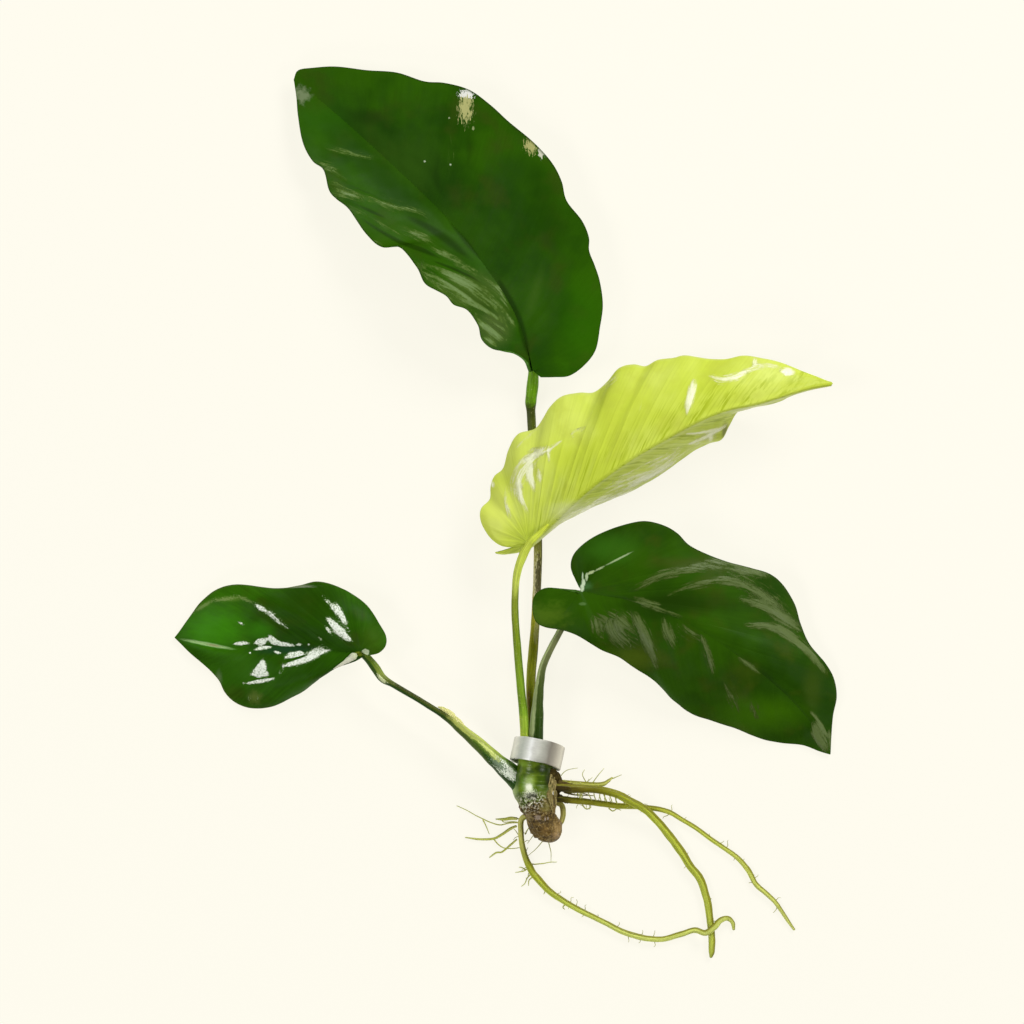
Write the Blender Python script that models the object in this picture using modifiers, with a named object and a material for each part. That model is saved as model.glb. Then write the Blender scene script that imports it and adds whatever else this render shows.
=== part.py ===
"""A bare-rooted anubias plant with a metal weight band round its crown, laid down on a flat surface.

The plant lies in the XY plane with its leaves towards +Y, its roots towards -Y and its show side up.
Its lowest points rest on Z = 0, and the origin is under the middle of its outline.
Points and sizes below are in millimetres, and MM turns them into Blender's metres.
"""

import math
from dataclasses import dataclass

import bmesh
import bpy
from mathutils import Vector

MM = 0.001

# Driving dimensions, in millimetres.
BLADE_THICKNESS = 0.8  # a leaf between its veins
MIDRIB_THICKNESS = 1.6  # a leaf through its midrib, at the stalk
MIDRIB_TIP_THICKNESS = 0.8  # a leaf through its midrib, at the tip
MARGIN_THICKNESS = 0.5  # a leaf at its edge
BAND_OUTER_RADIUS = 8.5
BAND_WIDTH = 7.3  # along the plant
BAND_WALL = 0.8
BAND_CENTRE = (10.3, -79.1, 8.95)
BAND_TURN = math.radians(-9)  # seen from above
BAND_LEAN = math.radians(-9)  # its upper mouth leans down
FIT_GAP = 0.3  # between pieces that grow from or rest on each other
WELD = 1e-6  # metres

# How finely the shapes are divided.
BLADE_ROWS = 38  # from the base to the tip of a leaf
BLADE_STEPS = (0.0, 0.05, 0.36, 0.7, 1.0)  # from the midrib to the edge
BAND_STEPS = 36
RHIZOME_RINGS = 22
STALK_RINGS = 22
PATH_SAMPLES = 24  # between two points of a smooth path

VEIN_SWEEP = 0.16  # how far a vein bends towards the tip, as a share of its length
FAN_ROWS = 0.25  # the share of a leaf's rows whose veins all start at the stalk
ROOT_BUNCHING = 1.8  # above 1, the veins leave the midrib closer together near the stalk


@dataclass(frozen=True)
class Side:
    """One half of a leaf: its edge from the notch at the stalk to the tip, and heights spread evenly along it."""

    edge: tuple
    edge_heights: tuple
    crown: tuple  # how far the half bulges up between midrib and edge, spread evenly
    fan_share: float  # the share of the edge whose veins fan out from the stalk
    vein_lean: float  # the larger, the further the other veins lean towards the tip


@dataclass(frozen=True)
class Leaf:
    """A leaf blade: its midrib with heights spread evenly along it, and its two halves.

    Left and right are as seen from above, looking from the stalk to the tip.
    """

    name: str
    midrib: tuple
    midrib_heights: tuple
    left: Side
    right: Side
    shows_underside: bool = False


TALL_LEAF = Leaf(
    name="leaf_tall",
    midrib=(
        (9, 46.5), (7.6, 53), (4.5, 61), (0, 70), (-6.5, 80), (-15, 91.5),
        (-25, 102.5), (-37, 114), (-50, 126), (-61, 135.5), (-70, 142.5),
    ),
    midrib_heights=(7.5, 4.2, 2.3, 1.6, 1.3, 1.2, 1.4, 2.2, 4.5),
    right=Side(
        edge=(
            (11.5, 44.4), (16, 44.4), (21, 44.9), (26, 48.5), (29.6, 53.5), (31, 61), (31.9, 68),
            (31, 75.5), (29.3, 81), (27.4, 86), (27.3, 90.5), (25, 96), (20, 102.5), (18.3, 109),
            (15, 115.2), (9, 121.8), (1, 128.5), (-5, 134), (-12, 139), (-20, 141.3), (-27, 141.9),
            (-36, 144.8), (-46, 145.6), (-56, 146.8), (-64, 146.4), (-68.6, 145.6), (-70, 142.5),
        ),
        edge_heights=(8, 9, 10, 11, 10, 11, 9, 10, 8, 7, 4.5),
        crown=(0, 1, 2, 2, 2, 1.5, 0),
        fan_share=0.15,
        vein_lean=1.4,
    ),
    left=Side(
        edge=(
            (7.4, 49.2), (5, 51.3), (1.3, 53), (-4.3, 53.7), (-7.9, 56.8), (-9.2, 61.6), (-12.8, 66.5),
            (-17.2, 68.2), (-20.1, 71.4), (-26.3, 74.8), (-29.3, 80.4), (-32.5, 84.8), (-35.8, 87.4),
            (-40.9, 87.3), (-45.8, 91.4), (-51.7, 99.6), (-55.8, 103.1), (-58.3, 106.2), (-60.1, 112.8),
            (-63.8, 115.8), (-66.9, 121.7), (-68.5, 130.2), (-69.1, 136.6), (-70, 142.5),
        ),
        edge_heights=(9, 14.5, 18.5, 20, 18.5, 15, 11.5, 9, 7, 5.5, 4.5),
        crown=(0, 0.5, -0.5, -1, -0.5, 0, 0),
        fan_share=0,
        vein_lean=1.2,
    ),
)

YOUNG_LEAF = Leaf(
    name="leaf_young",
    midrib=(
        (7.5, -10), (12, -6), (18, 0), (25, 6.5), (33, 12.7), (43, 19.3), (53, 25), (63, 30.3),
        (72, 33.9), (82, 36), (91, 38.6), (100, 41.2), (107.5, 42.4),
    ),
    midrib_heights=(14.2, 19.5, 22.5, 24, 24.5, 24, 22, 19, 14),
    left=Side(
        edge=(
            (3, -10.8), (-1, -11.2), (-5, -8.5), (-8, -3.5), (-8.2, 1), (-5.3, 4.2), (-5, 8.5),
            (-3.8, 11.8), (-0.8, 14.5), (1.2, 21), (4.2, 25.6), (10, 27.6), (14.5, 34.3), (18.5, 38),
            (24, 39.2), (29, 39.4), (33.5, 43), (37.5, 47.4), (42, 48.5), (46, 48), (50, 50),
            (55, 50.6), (59, 51.4), (66, 50.4), (72, 50.3), (78, 51.4), (84, 50.5), (91, 48.8),
            (98, 46), (107.5, 42.4),
        ),
        edge_heights=(13.6, 11, 10.5, 12, 14, 14, 15, 16, 16.5, 16, 14),
        crown=(0, 3, 4, 4, 3.5, 2.5, 0),
        fan_share=0.35,
        vein_lean=1.5,
    ),
    right=Side(
        edge=(
            (4, -12), (-1.5, -12.6), (-3.6, -13.2), (0, -13.7), (6, -12.6), (10.6, -9.4), (14.4, -6.2),
            (19.4, -2.4), (25.2, 0.3), (31, 3), (37, 5.3), (43, 8), (50, 12), (56.4, 16.5),
            (61.6, 20.1), (66.7, 22.7), (71, 24), (73.2, 28), (76.2, 33), (80, 34.1), (85, 35.6),
            (90.5, 36.7), (96.7, 39.9), (107.5, 42.4),
        ),
        edge_heights=(13.4, 9.5, 7, 2.4, 0.2, 0.1, 0.1, 0.5, 3.5, 9, 14),
        crown=(0, 0.5, 1, 1, 1, 0.5, 0),
        fan_share=0.2,
        vein_lean=1.4,
    ),
    shows_underside=True,
)

RIGHT_LEAF = Leaf(
    name="leaf_right",
    midrib=(
        (24.5, -25.8), (31, -27.3), (39, -28.6), (48, -31.3), (57, -35), (66, -40), (75, -46.3),
        (84, -53), (92, -60), (99, -67.5), (104, -74.5), (107, -80),
    ),
    midrib_heights=(16.2, 16.6, 17, 16.6, 14.8, 11.8, 8, 4.2, 1.0),
    right=Side(
        edge=(
            (22, -26.4), (17, -25), (12.5, -25.1), (9.4, -27.5), (8.7, -31.5), (9.8, -36), (13, -37.9),
            (19, -39), (24, -41), (31, -45.3), (37, -48), (43, -52), (49, -55.8), (55, -61.8),
            (61, -66.5), (68, -69), (76, -71.5), (84, -74.7), (91, -76.2), (98, -77), (103, -78.8),
            (107, -80),
        ),
        edge_heights=(16, 15.6, 15.2, 14.6, 10, 6, 3, 0.9, 0.5, 0.7, 1.0),
        crown=(0, 0.8, 2.5, 3.5, 3.5, 2, 0),
        fan_share=0.38,
        vein_lean=1.4,
    ),
    left=Side(
        edge=(
            (22.8, -22.3), (21.3, -18), (22.5, -13.5), (27, -9.3), (33, -6.2), (40, -3.9), (46, -3),
            (52, -4.4), (56.5, -7), (60.4, -10.9), (67.1, -14.3), (74, -16.8), (81, -18.6), (87, -20.5),
            (91, -23.8), (95, -30), (97.2, -37), (100, -43.5), (105, -49.5), (108.2, -55), (109, -61),
            (107.9, -67), (107.3, -74), (107, -80),
        ),
        edge_heights=(17, 22, 21, 16.5, 13, 10, 7, 5, 3.5, 2, 1.0),
        crown=(0, 1, 3, 4.5, 4.5, 2.5, 0),
        fan_share=0.45,
        vein_lean=2,
    ),
)

LEFT_LEAF = Leaf(
    name="leaf_left",
    midrib=(
        (-47.8, -46), (-54, -46), (-62, -45), (-70, -44.3), (-79, -44.2), (-88, -44.8), (-96, -44.2),
        (-103, -42.8), (-109.3, -41.4),
    ),
    midrib_heights=(11.4, 10.2, 8.6, 7.2, 5.8, 4.2, 2.8, 1.0),
    right=Side(
        edge=(
            (-45.3, -47.3), (-41.8, -46.4), (-39.6, -44), (-39.6, -40.7), (-42, -36.4), (-46, -30.6),
            (-51, -26.7), (-56.5, -24), (-62.5, -22.7), (-68.5, -24.2), (-75, -25), (-82, -24.2),
            (-89, -23.8), (-95, -25.3), (-100.5, -29.5), (-105, -35.5), (-107.5, -39), (-109.3, -41.4),
        ),
        edge_heights=(11.6, 11, 10.5, 9, 7, 6, 6, 4.5, 2.5, 1.0),
        crown=(0, 2, 4, 5, 4, 2, 0),
        fan_share=0.45,
        vein_lean=2.4,
    ),
    left=Side(
        edge=(
            (-47, -47.6), (-50, -49.4), (-55.5, -51.2), (-60, -54), (-66, -58.6), (-72, -62),
            (-78, -64.3), (-84, -64.6), (-89, -63), (-92.6, -59.8), (-95, -55.3), (-99, -51),
            (-104, -46.7), (-107.5, -43.2), (-109.3, -41.4),
        ),
        edge_heights=(10.2, 6.5, 4.5, 2.4, 1.0, 0.6, 0.6, 0.9, 1.2, 1.0),
        crown=(0, 2, 3.5, 4, 3, 1.5, 0),
        fan_share=0.12,
        vein_lean=1.8,
    ),
)

LEAVES = (TALL_LEAF, YOUNG_LEAF, RIGHT_LEAF, LEFT_LEAF)

# Round members: x, y, z of the centre line and the radius there, from the plant's crown outwards.
RHIZOME = (
    (9.7, -76.8, 8.7, 3.8), (9.7, -77.8, 8.7, 5.3), (9.7, -81, 8.8, 5.7), (9.6, -84.5, 8.9, 6.0),
    (8.9, -88, 7.4, 6.7), (9, -91, 7, 6.9), (9.7, -94.5, 6.7, 6.1), (10.9, -98.5, 6.3, 5.4),
    (11.7, -101, 6.1, 5.0), (13, -103.5, 5.9, 5.1), (14, -106, 5.8, 4.9), (14.7, -108, 5.8, 4.0),
    (15, -109, 5.8, 2.6),
)
STALKS = {
    "stalk_tall": (
        (9, -79, 6.2, 1.6), (8.9, -73, 6.3, 1.6), (8.4, -65, 6.1, 1.5), (8.2, -56, 5.3, 1.55),
        (8.8, -47, 4.4, 1.6), (9.6, -38, 3.5, 1.45), (10.2, -26, 2.5, 1.35), (10.5, -12, 1.9, 1.4),
        (10, 5, 1.7, 1.4), (9, 20, 1.8, 1.4), (8.2, 33, 2.1, 1.45), (8.2, 36.5, 2.4, 1.9),
        (8.8, 41.5, 3.0, 2.0), (9.1, 46.4, 3.9, 1.7),
    ),
    "stalk_young": (
        (6.4, -79, 10.4, 1.6), (6.3, -73.5, 10.7, 1.5), (5.8, -66, 11.1, 1.45), (4.8, -57, 11.8, 1.35),
        (3.8, -46, 12.6, 1.3), (3.1, -35, 13.5, 1.2), (3, -25, 14.5, 1.15), (3.9, -19, 15.5, 1.3),
        (5.6, -14.3, 16, 1.45), (7.6, -10.6, 17.2, 1.3), (8.8, -9.2, 18, 1.1),
    ),
    "stalk_right": (
        (10.7, -79, 10.4, 1.95), (10.7, -73.5, 10.7, 1.95), (10.9, -66, 10.9, 1.9),
        (11.3, -58, 11.1, 1.7), (12.4, -51, 11.2, 1.4), (14.8, -45, 11.4, 1.2), (17.8, -39.2, 11.7, 1.1),
        (21, -33, 12.3, 1.15), (23.6, -28.2, 12.9, 1.25), (24.9, -26.2, 13.2, 1.15),
    ),
    "stalk_left": (
        (5, -89, 7.4, 3.5), (0.8, -85.5, 7.9, 3.0), (-3.2, -81.9, 8.3, 2.5), (-8, -77.2, 8.6, 2.2),
        (-14, -72.2, 8.8, 1.75), (-19, -67.9, 8.8, 1.6), (-23, -65.4, 8.7, 1.2), (-30, -61.1, 8.5, 1.1),
        (-37, -57, 8.4, 1.15), (-40.6, -54.8, 8.2, 1.4), (-43, -51.5, 8, 1.5), (-45.6, -48.3, 8.2, 1.35),
        (-47.4, -46.6, 8.3, 1.2),
    ),
}
ROOTS = {
    "root_thick": (
        (12, -90.5, 8.4, 1.2), (22, -91, 7, 1.3), (33, -91.9, 5.3, 1.3), (40, -94.8, 4.6, 1.3),
        (46.4, -98.6, 3.6, 1.3), (51.8, -104.3, 2.2, 1.3), (56.8, -110.6, 1.5, 1.35), (60.3, -116.3, 1.4, 1.35),
        (64, -121.1, 1.35, 1.3), (66.2, -127.5, 1.3, 1.25), (67.4, -134.5, 1.25, 1.2), (67.9, -141, 1.2, 1.15),
        (67.8, -145, 1.1, 1.0), (67.4, -147.2, 0.8, 0.5),
    ),
    "root_long": (
        (12, -94, 6.4, 1.1), (22, -95, 4, 1.1), (30, -95.9, 2, 1.05), (38, -97, 1.05, 1.0),
        (46, -97.4, 0.9, 0.85), (53, -98.7, 0.85, 0.8), (60, -102.5, 0.8, 0.75), (67.8, -108, 0.8, 0.75),
        (75.2, -113.1, 0.85, 0.8), (79.7, -118, 0.95, 0.9), (82.5, -122.8, 0.9, 0.85), (85.4, -125.5, 0.85, 0.8),
        (88.5, -128.5, 0.8, 0.75), (92, -133.5, 0.7, 0.65), (95.4, -138.1, 0.5, 0.4),
    ),
    "root_hooked": (
        (9, -99.8, 5.4, 1.0), (5.4, -101.2, 3.9, 0.95), (4.8, -105.5, 2.4, 0.95), (5.6, -111.5, 1.4, 0.95),
        (8.3, -118, 1.2, 1.15), (10.6, -121, 1.3, 1.25), (14.1, -124.7, 1.15, 1.1), (20, -128.9, 1.0, 0.95),
        (30, -134.3, 0.95, 0.9), (40, -139, 1.0, 0.95), (50, -141, 1.0, 0.95), (57, -139.4, 1.0, 0.95),
        (62, -138, 1.5, 0.95), (65.8, -138.9, 3.4, 0.95), (68.6, -137, 3.95, 1.0), (70.7, -134.8, 3, 0.95),
        (73, -134.1, 1.4, 0.85), (74.7, -135.4, 0.8, 0.7), (75.1, -138, 0.6, 0.45),
    ),
    "root_short": (
        (12, -88.4, 5.6, 0.9), (20, -89.2, 4.6, 0.95), (27, -89.8, 3.9, 0.9), (31.5, -89.8, 3.5, 0.8),
        (33.7, -88.7, 3.3, 0.55), (35.2, -87.4, 3.1, 0.25),
    ),
    "root_stub": (
        (14, -95, 3.4, 0.9), (18, -96.4, 2.6, 0.95), (18.8, -99, 2, 0.9), (18.3, -101.8, 1.6, 0.85),
        (17.4, -103.6, 1.3, 0.5),
    ),
    "rootlet_upper": (
        (3.9, -101.2, 3.6, 0.5), (1.6, -101, 3, 0.6), (-0.6, -101.3, 2.4, 0.5), (-3.4, -101.3, 1.8, 0.2),
    ),
    "rootlet_middle": (
        (3.6, -103.6, 2.4, 0.4), (1.4, -104.6, 1.8, 0.5), (-1.6, -106.6, 1.1, 0.45), (-4.4, -107.9, 0.7, 0.4),
        (-9, -108, 0.5, 0.35), (-13.6, -107.4, 0.4, 0.2),
    ),
    "rootlet_lower": (
        (3.6, -107.8, 1.4, 0.3), (1.6, -109.6, 1, 0.35), (-1.4, -112.2, 0.6, 0.3), (-3.4, -112.5, 0.5, 0.3),
        (-5.6, -114.1, 0.4, 0.2),
    ),
}
GROWS_FROM_RHIZOME = (*STALKS, "root_thick", "root_long", "root_hooked", "root_short", "root_stub")

# Material: base colour, roughness, metallic.
FINISHES = {
    "dark_leaf": ((0.028, 0.12, 0.01), 0.3, 0.0),
    "young_leaf": ((0.52, 0.66, 0.05), 0.35, 0.0),
    "stalk": ((0.12, 0.26, 0.03), 0.4, 0.0),
    "rhizome": ((0.14, 0.2, 0.03), 0.5, 0.0),
    "root": ((0.42, 0.46, 0.08), 0.45, 0.0),
    "band_metal": ((0.72, 0.72, 0.71), 0.35, 1.0),
}


def clear_scene():
    """Removes every object, so that only the plant is left at the end."""
    for found in list(bpy.data.objects):
        bpy.data.objects.remove(found)


def new_collection(name):
    made = bpy.data.collections.new(name)
    bpy.context.scene.collection.children.link(made)
    return made


def finish_material(name):
    """The Principled material of that name, made on first use."""
    if name in bpy.data.materials:
        return bpy.data.materials[name]
    colour, roughness, metallic = FINISHES[name]
    made = bpy.data.materials.new(name)
    made.use_nodes = True
    shader = made.node_tree.nodes["Principled BSDF"]
    shader.inputs["Base Color"].default_value = (*colour, 1.0)
    shader.inputs["Roughness"].default_value = roughness
    shader.inputs["Metallic"].default_value = metallic
    return made


def catmull_rom(before, start, end, after, share):
    """A point of the smooth curve from start to end, with its neighbours before and after."""
    square, cube = share * share, share * share * share
    return 0.5 * (
        2 * start
        + (end - before) * share
        + (2 * before - 5 * start + 4 * end - after) * square
        + (3 * start - before - 3 * end + after) * cube
    )


def smooth_value(values, share):
    """Reads evenly spread values at a share from 0 to 1, smoothly."""
    place = min(max(share, 0.0), 1.0) * (len(values) - 1)
    index = min(int(place), len(values) - 2)
    padded = (values[0], *values, values[-1])
    return catmull_rom(*padded[index : index + 4], place - index)


class SmoothPath:
    """A smooth curve through points, read by the share of its length."""

    def __init__(self, points):
        corners = [Vector(point) for point in points]
        padded = [2 * corners[0] - corners[1], *corners, 2 * corners[-1] - corners[-2]]
        self.points = [corners[0]]
        self.lengths = [0.0]
        for index in range(len(corners) - 1):
            for step in range(1, PATH_SAMPLES + 1):
                point = catmull_rom(*padded[index : index + 4], step / PATH_SAMPLES)
                self.lengths.append(self.lengths[-1] + (point - self.points[-1]).length)
                self.points.append(point)

    def at(self, share):
        wanted = min(max(share, 0.0), 1.0) * self.lengths[-1]
        index = next(i for i, length in enumerate(self.lengths) if length >= wanted - 1e-9)
        if index == 0:
            return self.points[0].copy()
        part = (wanted - self.lengths[index - 1]) / (self.lengths[index] - self.lengths[index - 1])
        return self.points[index - 1].lerp(self.points[index], part)


def vein_ends(side, row_share):
    """Where a vein leaves the midrib and where it meets the edge, each as a share of that line's length."""
    if row_share <= FAN_ROWS:
        return 0.0, side.fan_share * row_share / FAN_ROWS
    root_share = ((row_share - FAN_ROWS) / (1 - FAN_ROWS)) ** ROOT_BUNCHING
    return root_share, side.fan_share + (1 - side.fan_share) * root_share ** (1 / side.vein_lean)


class BladeSurface:
    """The given surface of a leaf, read by the share from stalk to tip and the share from midrib to edge."""

    def __init__(self, leaf):
        self.leaf = leaf
        self.midrib = SmoothPath(leaf.midrib)
        self.edges = {side: SmoothPath(side.edge) for side in (leaf.left, leaf.right)}

    def point(self, side, row_share, across):
        """The point in millimetres, on the vein of that row, across from 0 at the midrib to 1 at the edge."""
        root_share, edge_share = vein_ends(side, row_share)
        root = self.midrib.at(root_share)
        end = self.edges[side].at(edge_share)
        forward = self.midrib.at(min(root_share + 0.02, 1.0)) - self.midrib.at(max(root_share - 0.02, 0.0))
        sweep = forward.normalized() * (end - root).length * VEIN_SWEEP * (1 - edge_share)
        arc = 4 * across * (1 - across)
        flat = root.lerp(end, across) - sweep * arc * min(root_share * 4, 1.0) * 0.5
        height = (
            smooth_value(self.leaf.midrib_heights, root_share) * (1 - across)
            + smooth_value(side.edge_heights, edge_share) * across
            + smooth_value(side.crown, edge_share) * arc
        )
        return Vector((flat.x, flat.y, height))

    def thickness(self, side, row_share, across):
        """The blade's thickness in millimetres: thick at the midrib, thin at the edge."""
        if across == 0:
            taper = vein_ends(side, row_share)[0]
            return MIDRIB_THICKNESS * (1 - taper) + MIDRIB_TIP_THICKNESS * taper
        if across == 1 or row_share == 1:
            return MARGIN_THICKNESS
        return BLADE_THICKNESS


def build_leaf(leaf, collection):
    """A leaf blade: a grid laid over its surface, thickened on the side of its raised midrib."""
    surface = BladeSurface(leaf)
    columns = len(BLADE_STEPS) - 1
    bm = bmesh.new()
    bmesh.ops.create_grid(bm, x_segments=BLADE_ROWS, y_segments=2 * columns, size=1.0)
    weights = bm.verts.layers.deform.verify()
    for vert in bm.verts:
        row_share = (vert.co.x + 1) / 2
        column = round(abs(vert.co.y) * columns)
        side = leaf.left if vert.co.y > 0 else leaf.right
        across = BLADE_STEPS[column]
        vert[weights][0] = surface.thickness(side, row_share, across) / MIDRIB_THICKNESS
        vert.co = surface.point(side, row_share, across) * MM
    bmesh.ops.remove_doubles(bm, verts=bm.verts, dist=WELD)
    mesh = bpy.data.meshes.new(leaf.name)
    bm.to_mesh(mesh)
    bm.free()
    blade = bpy.data.objects.new(leaf.name, mesh)
    collection.objects.link(blade)
    blade.vertex_groups.new(name="thickness")
    solidify = blade.modifiers.new("blade_thickness", "SOLIDIFY")
    solidify.thickness = MIDRIB_THICKNESS * MM
    solidify.offset = 1 if leaf.shows_underside else -1
    solidify.vertex_group = "thickness"
    mesh.shade_smooth()
    mesh.materials.append(finish_material("young_leaf" if leaf.shows_underside else "dark_leaf"))
    return blade


def grown(path, gap):
    """The path of a round member that is larger by the gap all round and at both ends."""
    places = [Vector(point[:3]) for point in path]
    places[0] += (places[0] - places[1]).normalized() * gap
    places[-1] += (places[-1] - places[-2]).normalized() * gap
    return tuple((*place, point[3] + gap) for place, point in zip(places, path))


def build_tube(name, path, points, resolution, material_name, collection):
    """A tapering round member along a smooth path of x, y, z and radius, as a closed mesh."""
    line = SmoothPath([point[:3] for point in path])
    radii = [point[3] for point in path]
    stops = [0.0]
    for before, after in zip(path, path[1:]):
        stops.append(stops[-1] + (Vector(after[:3]) - Vector(before[:3])).length)
    curve = bpy.data.curves.new(name, "CURVE")
    curve.dimensions = "3D"
    curve.bevel_depth = MM
    curve.bevel_resolution = resolution
    curve.use_fill_caps = True
    spline = curve.splines.new("POLY")
    spline.points.add(points - 1)
    for index, spline_point in enumerate(spline.points):
        share = index / (points - 1)
        place = line.at(share) * MM
        spline_point.co = (*place, 1.0)
        spline_point.radius = radius_at(stops, radii, share)
    tube = bpy.data.objects.new(name, curve)
    collection.objects.link(tube)
    return as_mesh(tube, material_name, collection)


def radius_at(stops, radii, share):
    """The radius at a share of the path, in a straight blend between the path's points."""
    wanted = share * stops[-1]
    for index in range(1, len(stops)):
        if wanted <= stops[index] + 1e-9:
            part = (wanted - stops[index - 1]) / (stops[index] - stops[index - 1])
            return radii[index - 1] * (1 - part) + radii[index] * part
    return radii[-1]


def as_mesh(curve_object, material_name, collection):
    """Turns a curve object into a mesh object of the same name, with its caps welded on."""
    name = curve_object.name
    graph = bpy.context.evaluated_depsgraph_get()
    mesh = bpy.data.meshes.new_from_object(curve_object.evaluated_get(graph))
    bm = bmesh.new()
    bm.from_mesh(mesh)
    bmesh.ops.remove_doubles(bm, verts=bm.verts, dist=WELD)
    bm.to_mesh(mesh)
    bm.free()
    world = curve_object.matrix_world.copy()
    bpy.data.objects.remove(curve_object)
    made = bpy.data.objects.new(name, mesh)
    made.matrix_world = world
    collection.objects.link(made)
    mesh.materials.clear()
    mesh.materials.append(finish_material(material_name))
    mesh.shade_smooth()
    mesh.set_sharp_from_angle(angle=math.radians(50))
    return made


def cut(target, cutter):
    """Cuts the cutter's shape out of the target."""
    boolean = target.modifiers.new("clear_of_" + cutter.name, "BOOLEAN")
    boolean.operation = "DIFFERENCE"
    boolean.object = cutter


def as_cutter(helper):
    helper.hide_render = True
    helper.display_type = "WIRE"
    return helper


def build_band(name, outer, wall, width, collection):
    """The band: a turned rectangle with eased corners, leaned and turned round its centre."""
    ease = min(wall, width) * 0.2
    inner = outer - wall
    half = width / 2
    profile = (
        (outer, half - ease), (outer, ease - half), (outer - ease, -half), (inner + ease, -half),
        (inner, ease - half), (inner, half - ease), (inner + ease, half), (outer - ease, half),
    )
    mesh = bpy.data.meshes.new(name)
    corners = [(radius * MM, 0.0, along * MM) for radius, along in profile]
    sides = [(index, (index + 1) % len(corners)) for index in range(len(corners))]
    mesh.from_pydata(corners, sides, [])
    band = bpy.data.objects.new(name, mesh)
    collection.objects.link(band)
    screw = band.modifiers.new("turned", "SCREW")
    screw.steps = screw.render_steps = BAND_STEPS
    screw.use_merge_vertices = True
    screw.merge_threshold = WELD
    band.location = Vector(BAND_CENTRE) * MM
    band.rotation_euler = (math.radians(90) + BAND_LEAN, 0, BAND_TURN)
    mesh.materials.append(finish_material("band_metal"))
    return band


def main():
    clear_scene()
    plant = new_collection("anubias_plant")
    cutters = new_collection("cutters")
    for leaf in LEAVES:
        build_leaf(leaf, plant)
    build_tube("rhizome", RHIZOME, RHIZOME_RINGS, 6, "rhizome", plant)
    room = grown(RHIZOME, FIT_GAP)
    rhizome_cutter = as_cutter(build_tube("rhizome_cutter", room, RHIZOME_RINGS, 6, "rhizome", cutters))
    build_band("weight_band", BAND_OUTER_RADIUS, BAND_WALL, BAND_WIDTH, plant)
    members = {}
    for name, path in STALKS.items():
        members[name] = build_tube(name, path, STALK_RINGS, 2, "stalk", plant)
    for name, path in ROOTS.items():
        members[name] = build_tube(name, path, 2 * len(path), 1, "root", plant)
    for name in GROWS_FROM_RHIZOME:
        cut(members[name], rhizome_cutter)


main()
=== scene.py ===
"""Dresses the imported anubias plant, and adds the floor, the lights and the camera.

The plant lies in the XY plane with its leaves towards +Y and its show side up.
Lengths in the tables are millimetres, which MM turns into Blender's metres.
"""

import logging
import math
import random
from bisect import bisect_left
from dataclasses import dataclass
from enum import Enum

import bmesh
import bpy
import numpy as np
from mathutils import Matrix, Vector, noise


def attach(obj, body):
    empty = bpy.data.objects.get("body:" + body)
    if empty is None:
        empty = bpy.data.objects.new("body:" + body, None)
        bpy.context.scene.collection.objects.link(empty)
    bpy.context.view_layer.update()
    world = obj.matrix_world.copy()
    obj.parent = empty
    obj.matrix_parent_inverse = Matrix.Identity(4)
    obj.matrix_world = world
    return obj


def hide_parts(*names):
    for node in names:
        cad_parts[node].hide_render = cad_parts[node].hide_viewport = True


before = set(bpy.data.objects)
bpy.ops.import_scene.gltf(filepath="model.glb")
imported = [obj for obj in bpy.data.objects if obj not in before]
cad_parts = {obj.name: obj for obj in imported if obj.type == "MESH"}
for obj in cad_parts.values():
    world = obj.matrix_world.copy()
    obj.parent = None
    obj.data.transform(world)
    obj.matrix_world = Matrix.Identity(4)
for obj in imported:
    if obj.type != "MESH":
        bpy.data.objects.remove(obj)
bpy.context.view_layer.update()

LOG = logging.getLogger("anubias")
MM = 0.001
BODY = "root"
WELD = 1e-7  # metres
PATH_SAMPLES = 24  # between two points of a smooth path
FLOOR_CLEARANCE = 0.02  # millimetres, under the lowest surfaces

Points = tuple[tuple[float, ...], ...]
Colour = tuple[float, float, float]
Stops = tuple[tuple[float, Colour], ...]
Socket = bpy.types.NodeSocket


class Skin(Enum):
    """Which face of a blade looks up."""

    UPPER = 1
    UNDER = -1


class Slot(Enum):
    """The record's material slots."""

    DARK_LEAF = "dark_leaf"
    YOUNG_LEAF = "young_leaf"
    STALK = "stalk"
    RHIZOME = "rhizome"
    ROOT = "root"
    BAND = "band_metal"


# ---------------------------------------------------------------- curves


def catmull_rom(before: Vector, start: Vector, end: Vector, after: Vector, share: float) -> Vector:
    """Reads a smooth curve through points.

    Args:
        before: The point before the stretch.
        start: Where the stretch starts.
        end: Where it ends.
        after: The point after it.
        share: The place on the stretch, from 0 to 1.

    Returns:
        The point.
    """
    square, cube = share * share, share * share * share
    return 0.5 * (
        2 * start
        + (end - before) * share
        + (2 * before - 5 * start + 4 * end - after) * square
        + (3 * start - before - 3 * end + after) * cube
    )


def smooth_value(values: tuple[float, ...], share: float) -> float:
    """Reads evenly spread values at a share from 0 to 1, smoothly.

    Args:
        values: The values, evenly spread.
        share: The place between the first and the last.

    Returns:
        The blended value.
    """
    place = min(max(share, 0.0), 1.0) * (len(values) - 1)
    index = min(int(place), len(values) - 2)
    padded = (values[0], *values, values[-1])
    return catmull_rom(*padded[index : index + 4], place - index)


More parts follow.
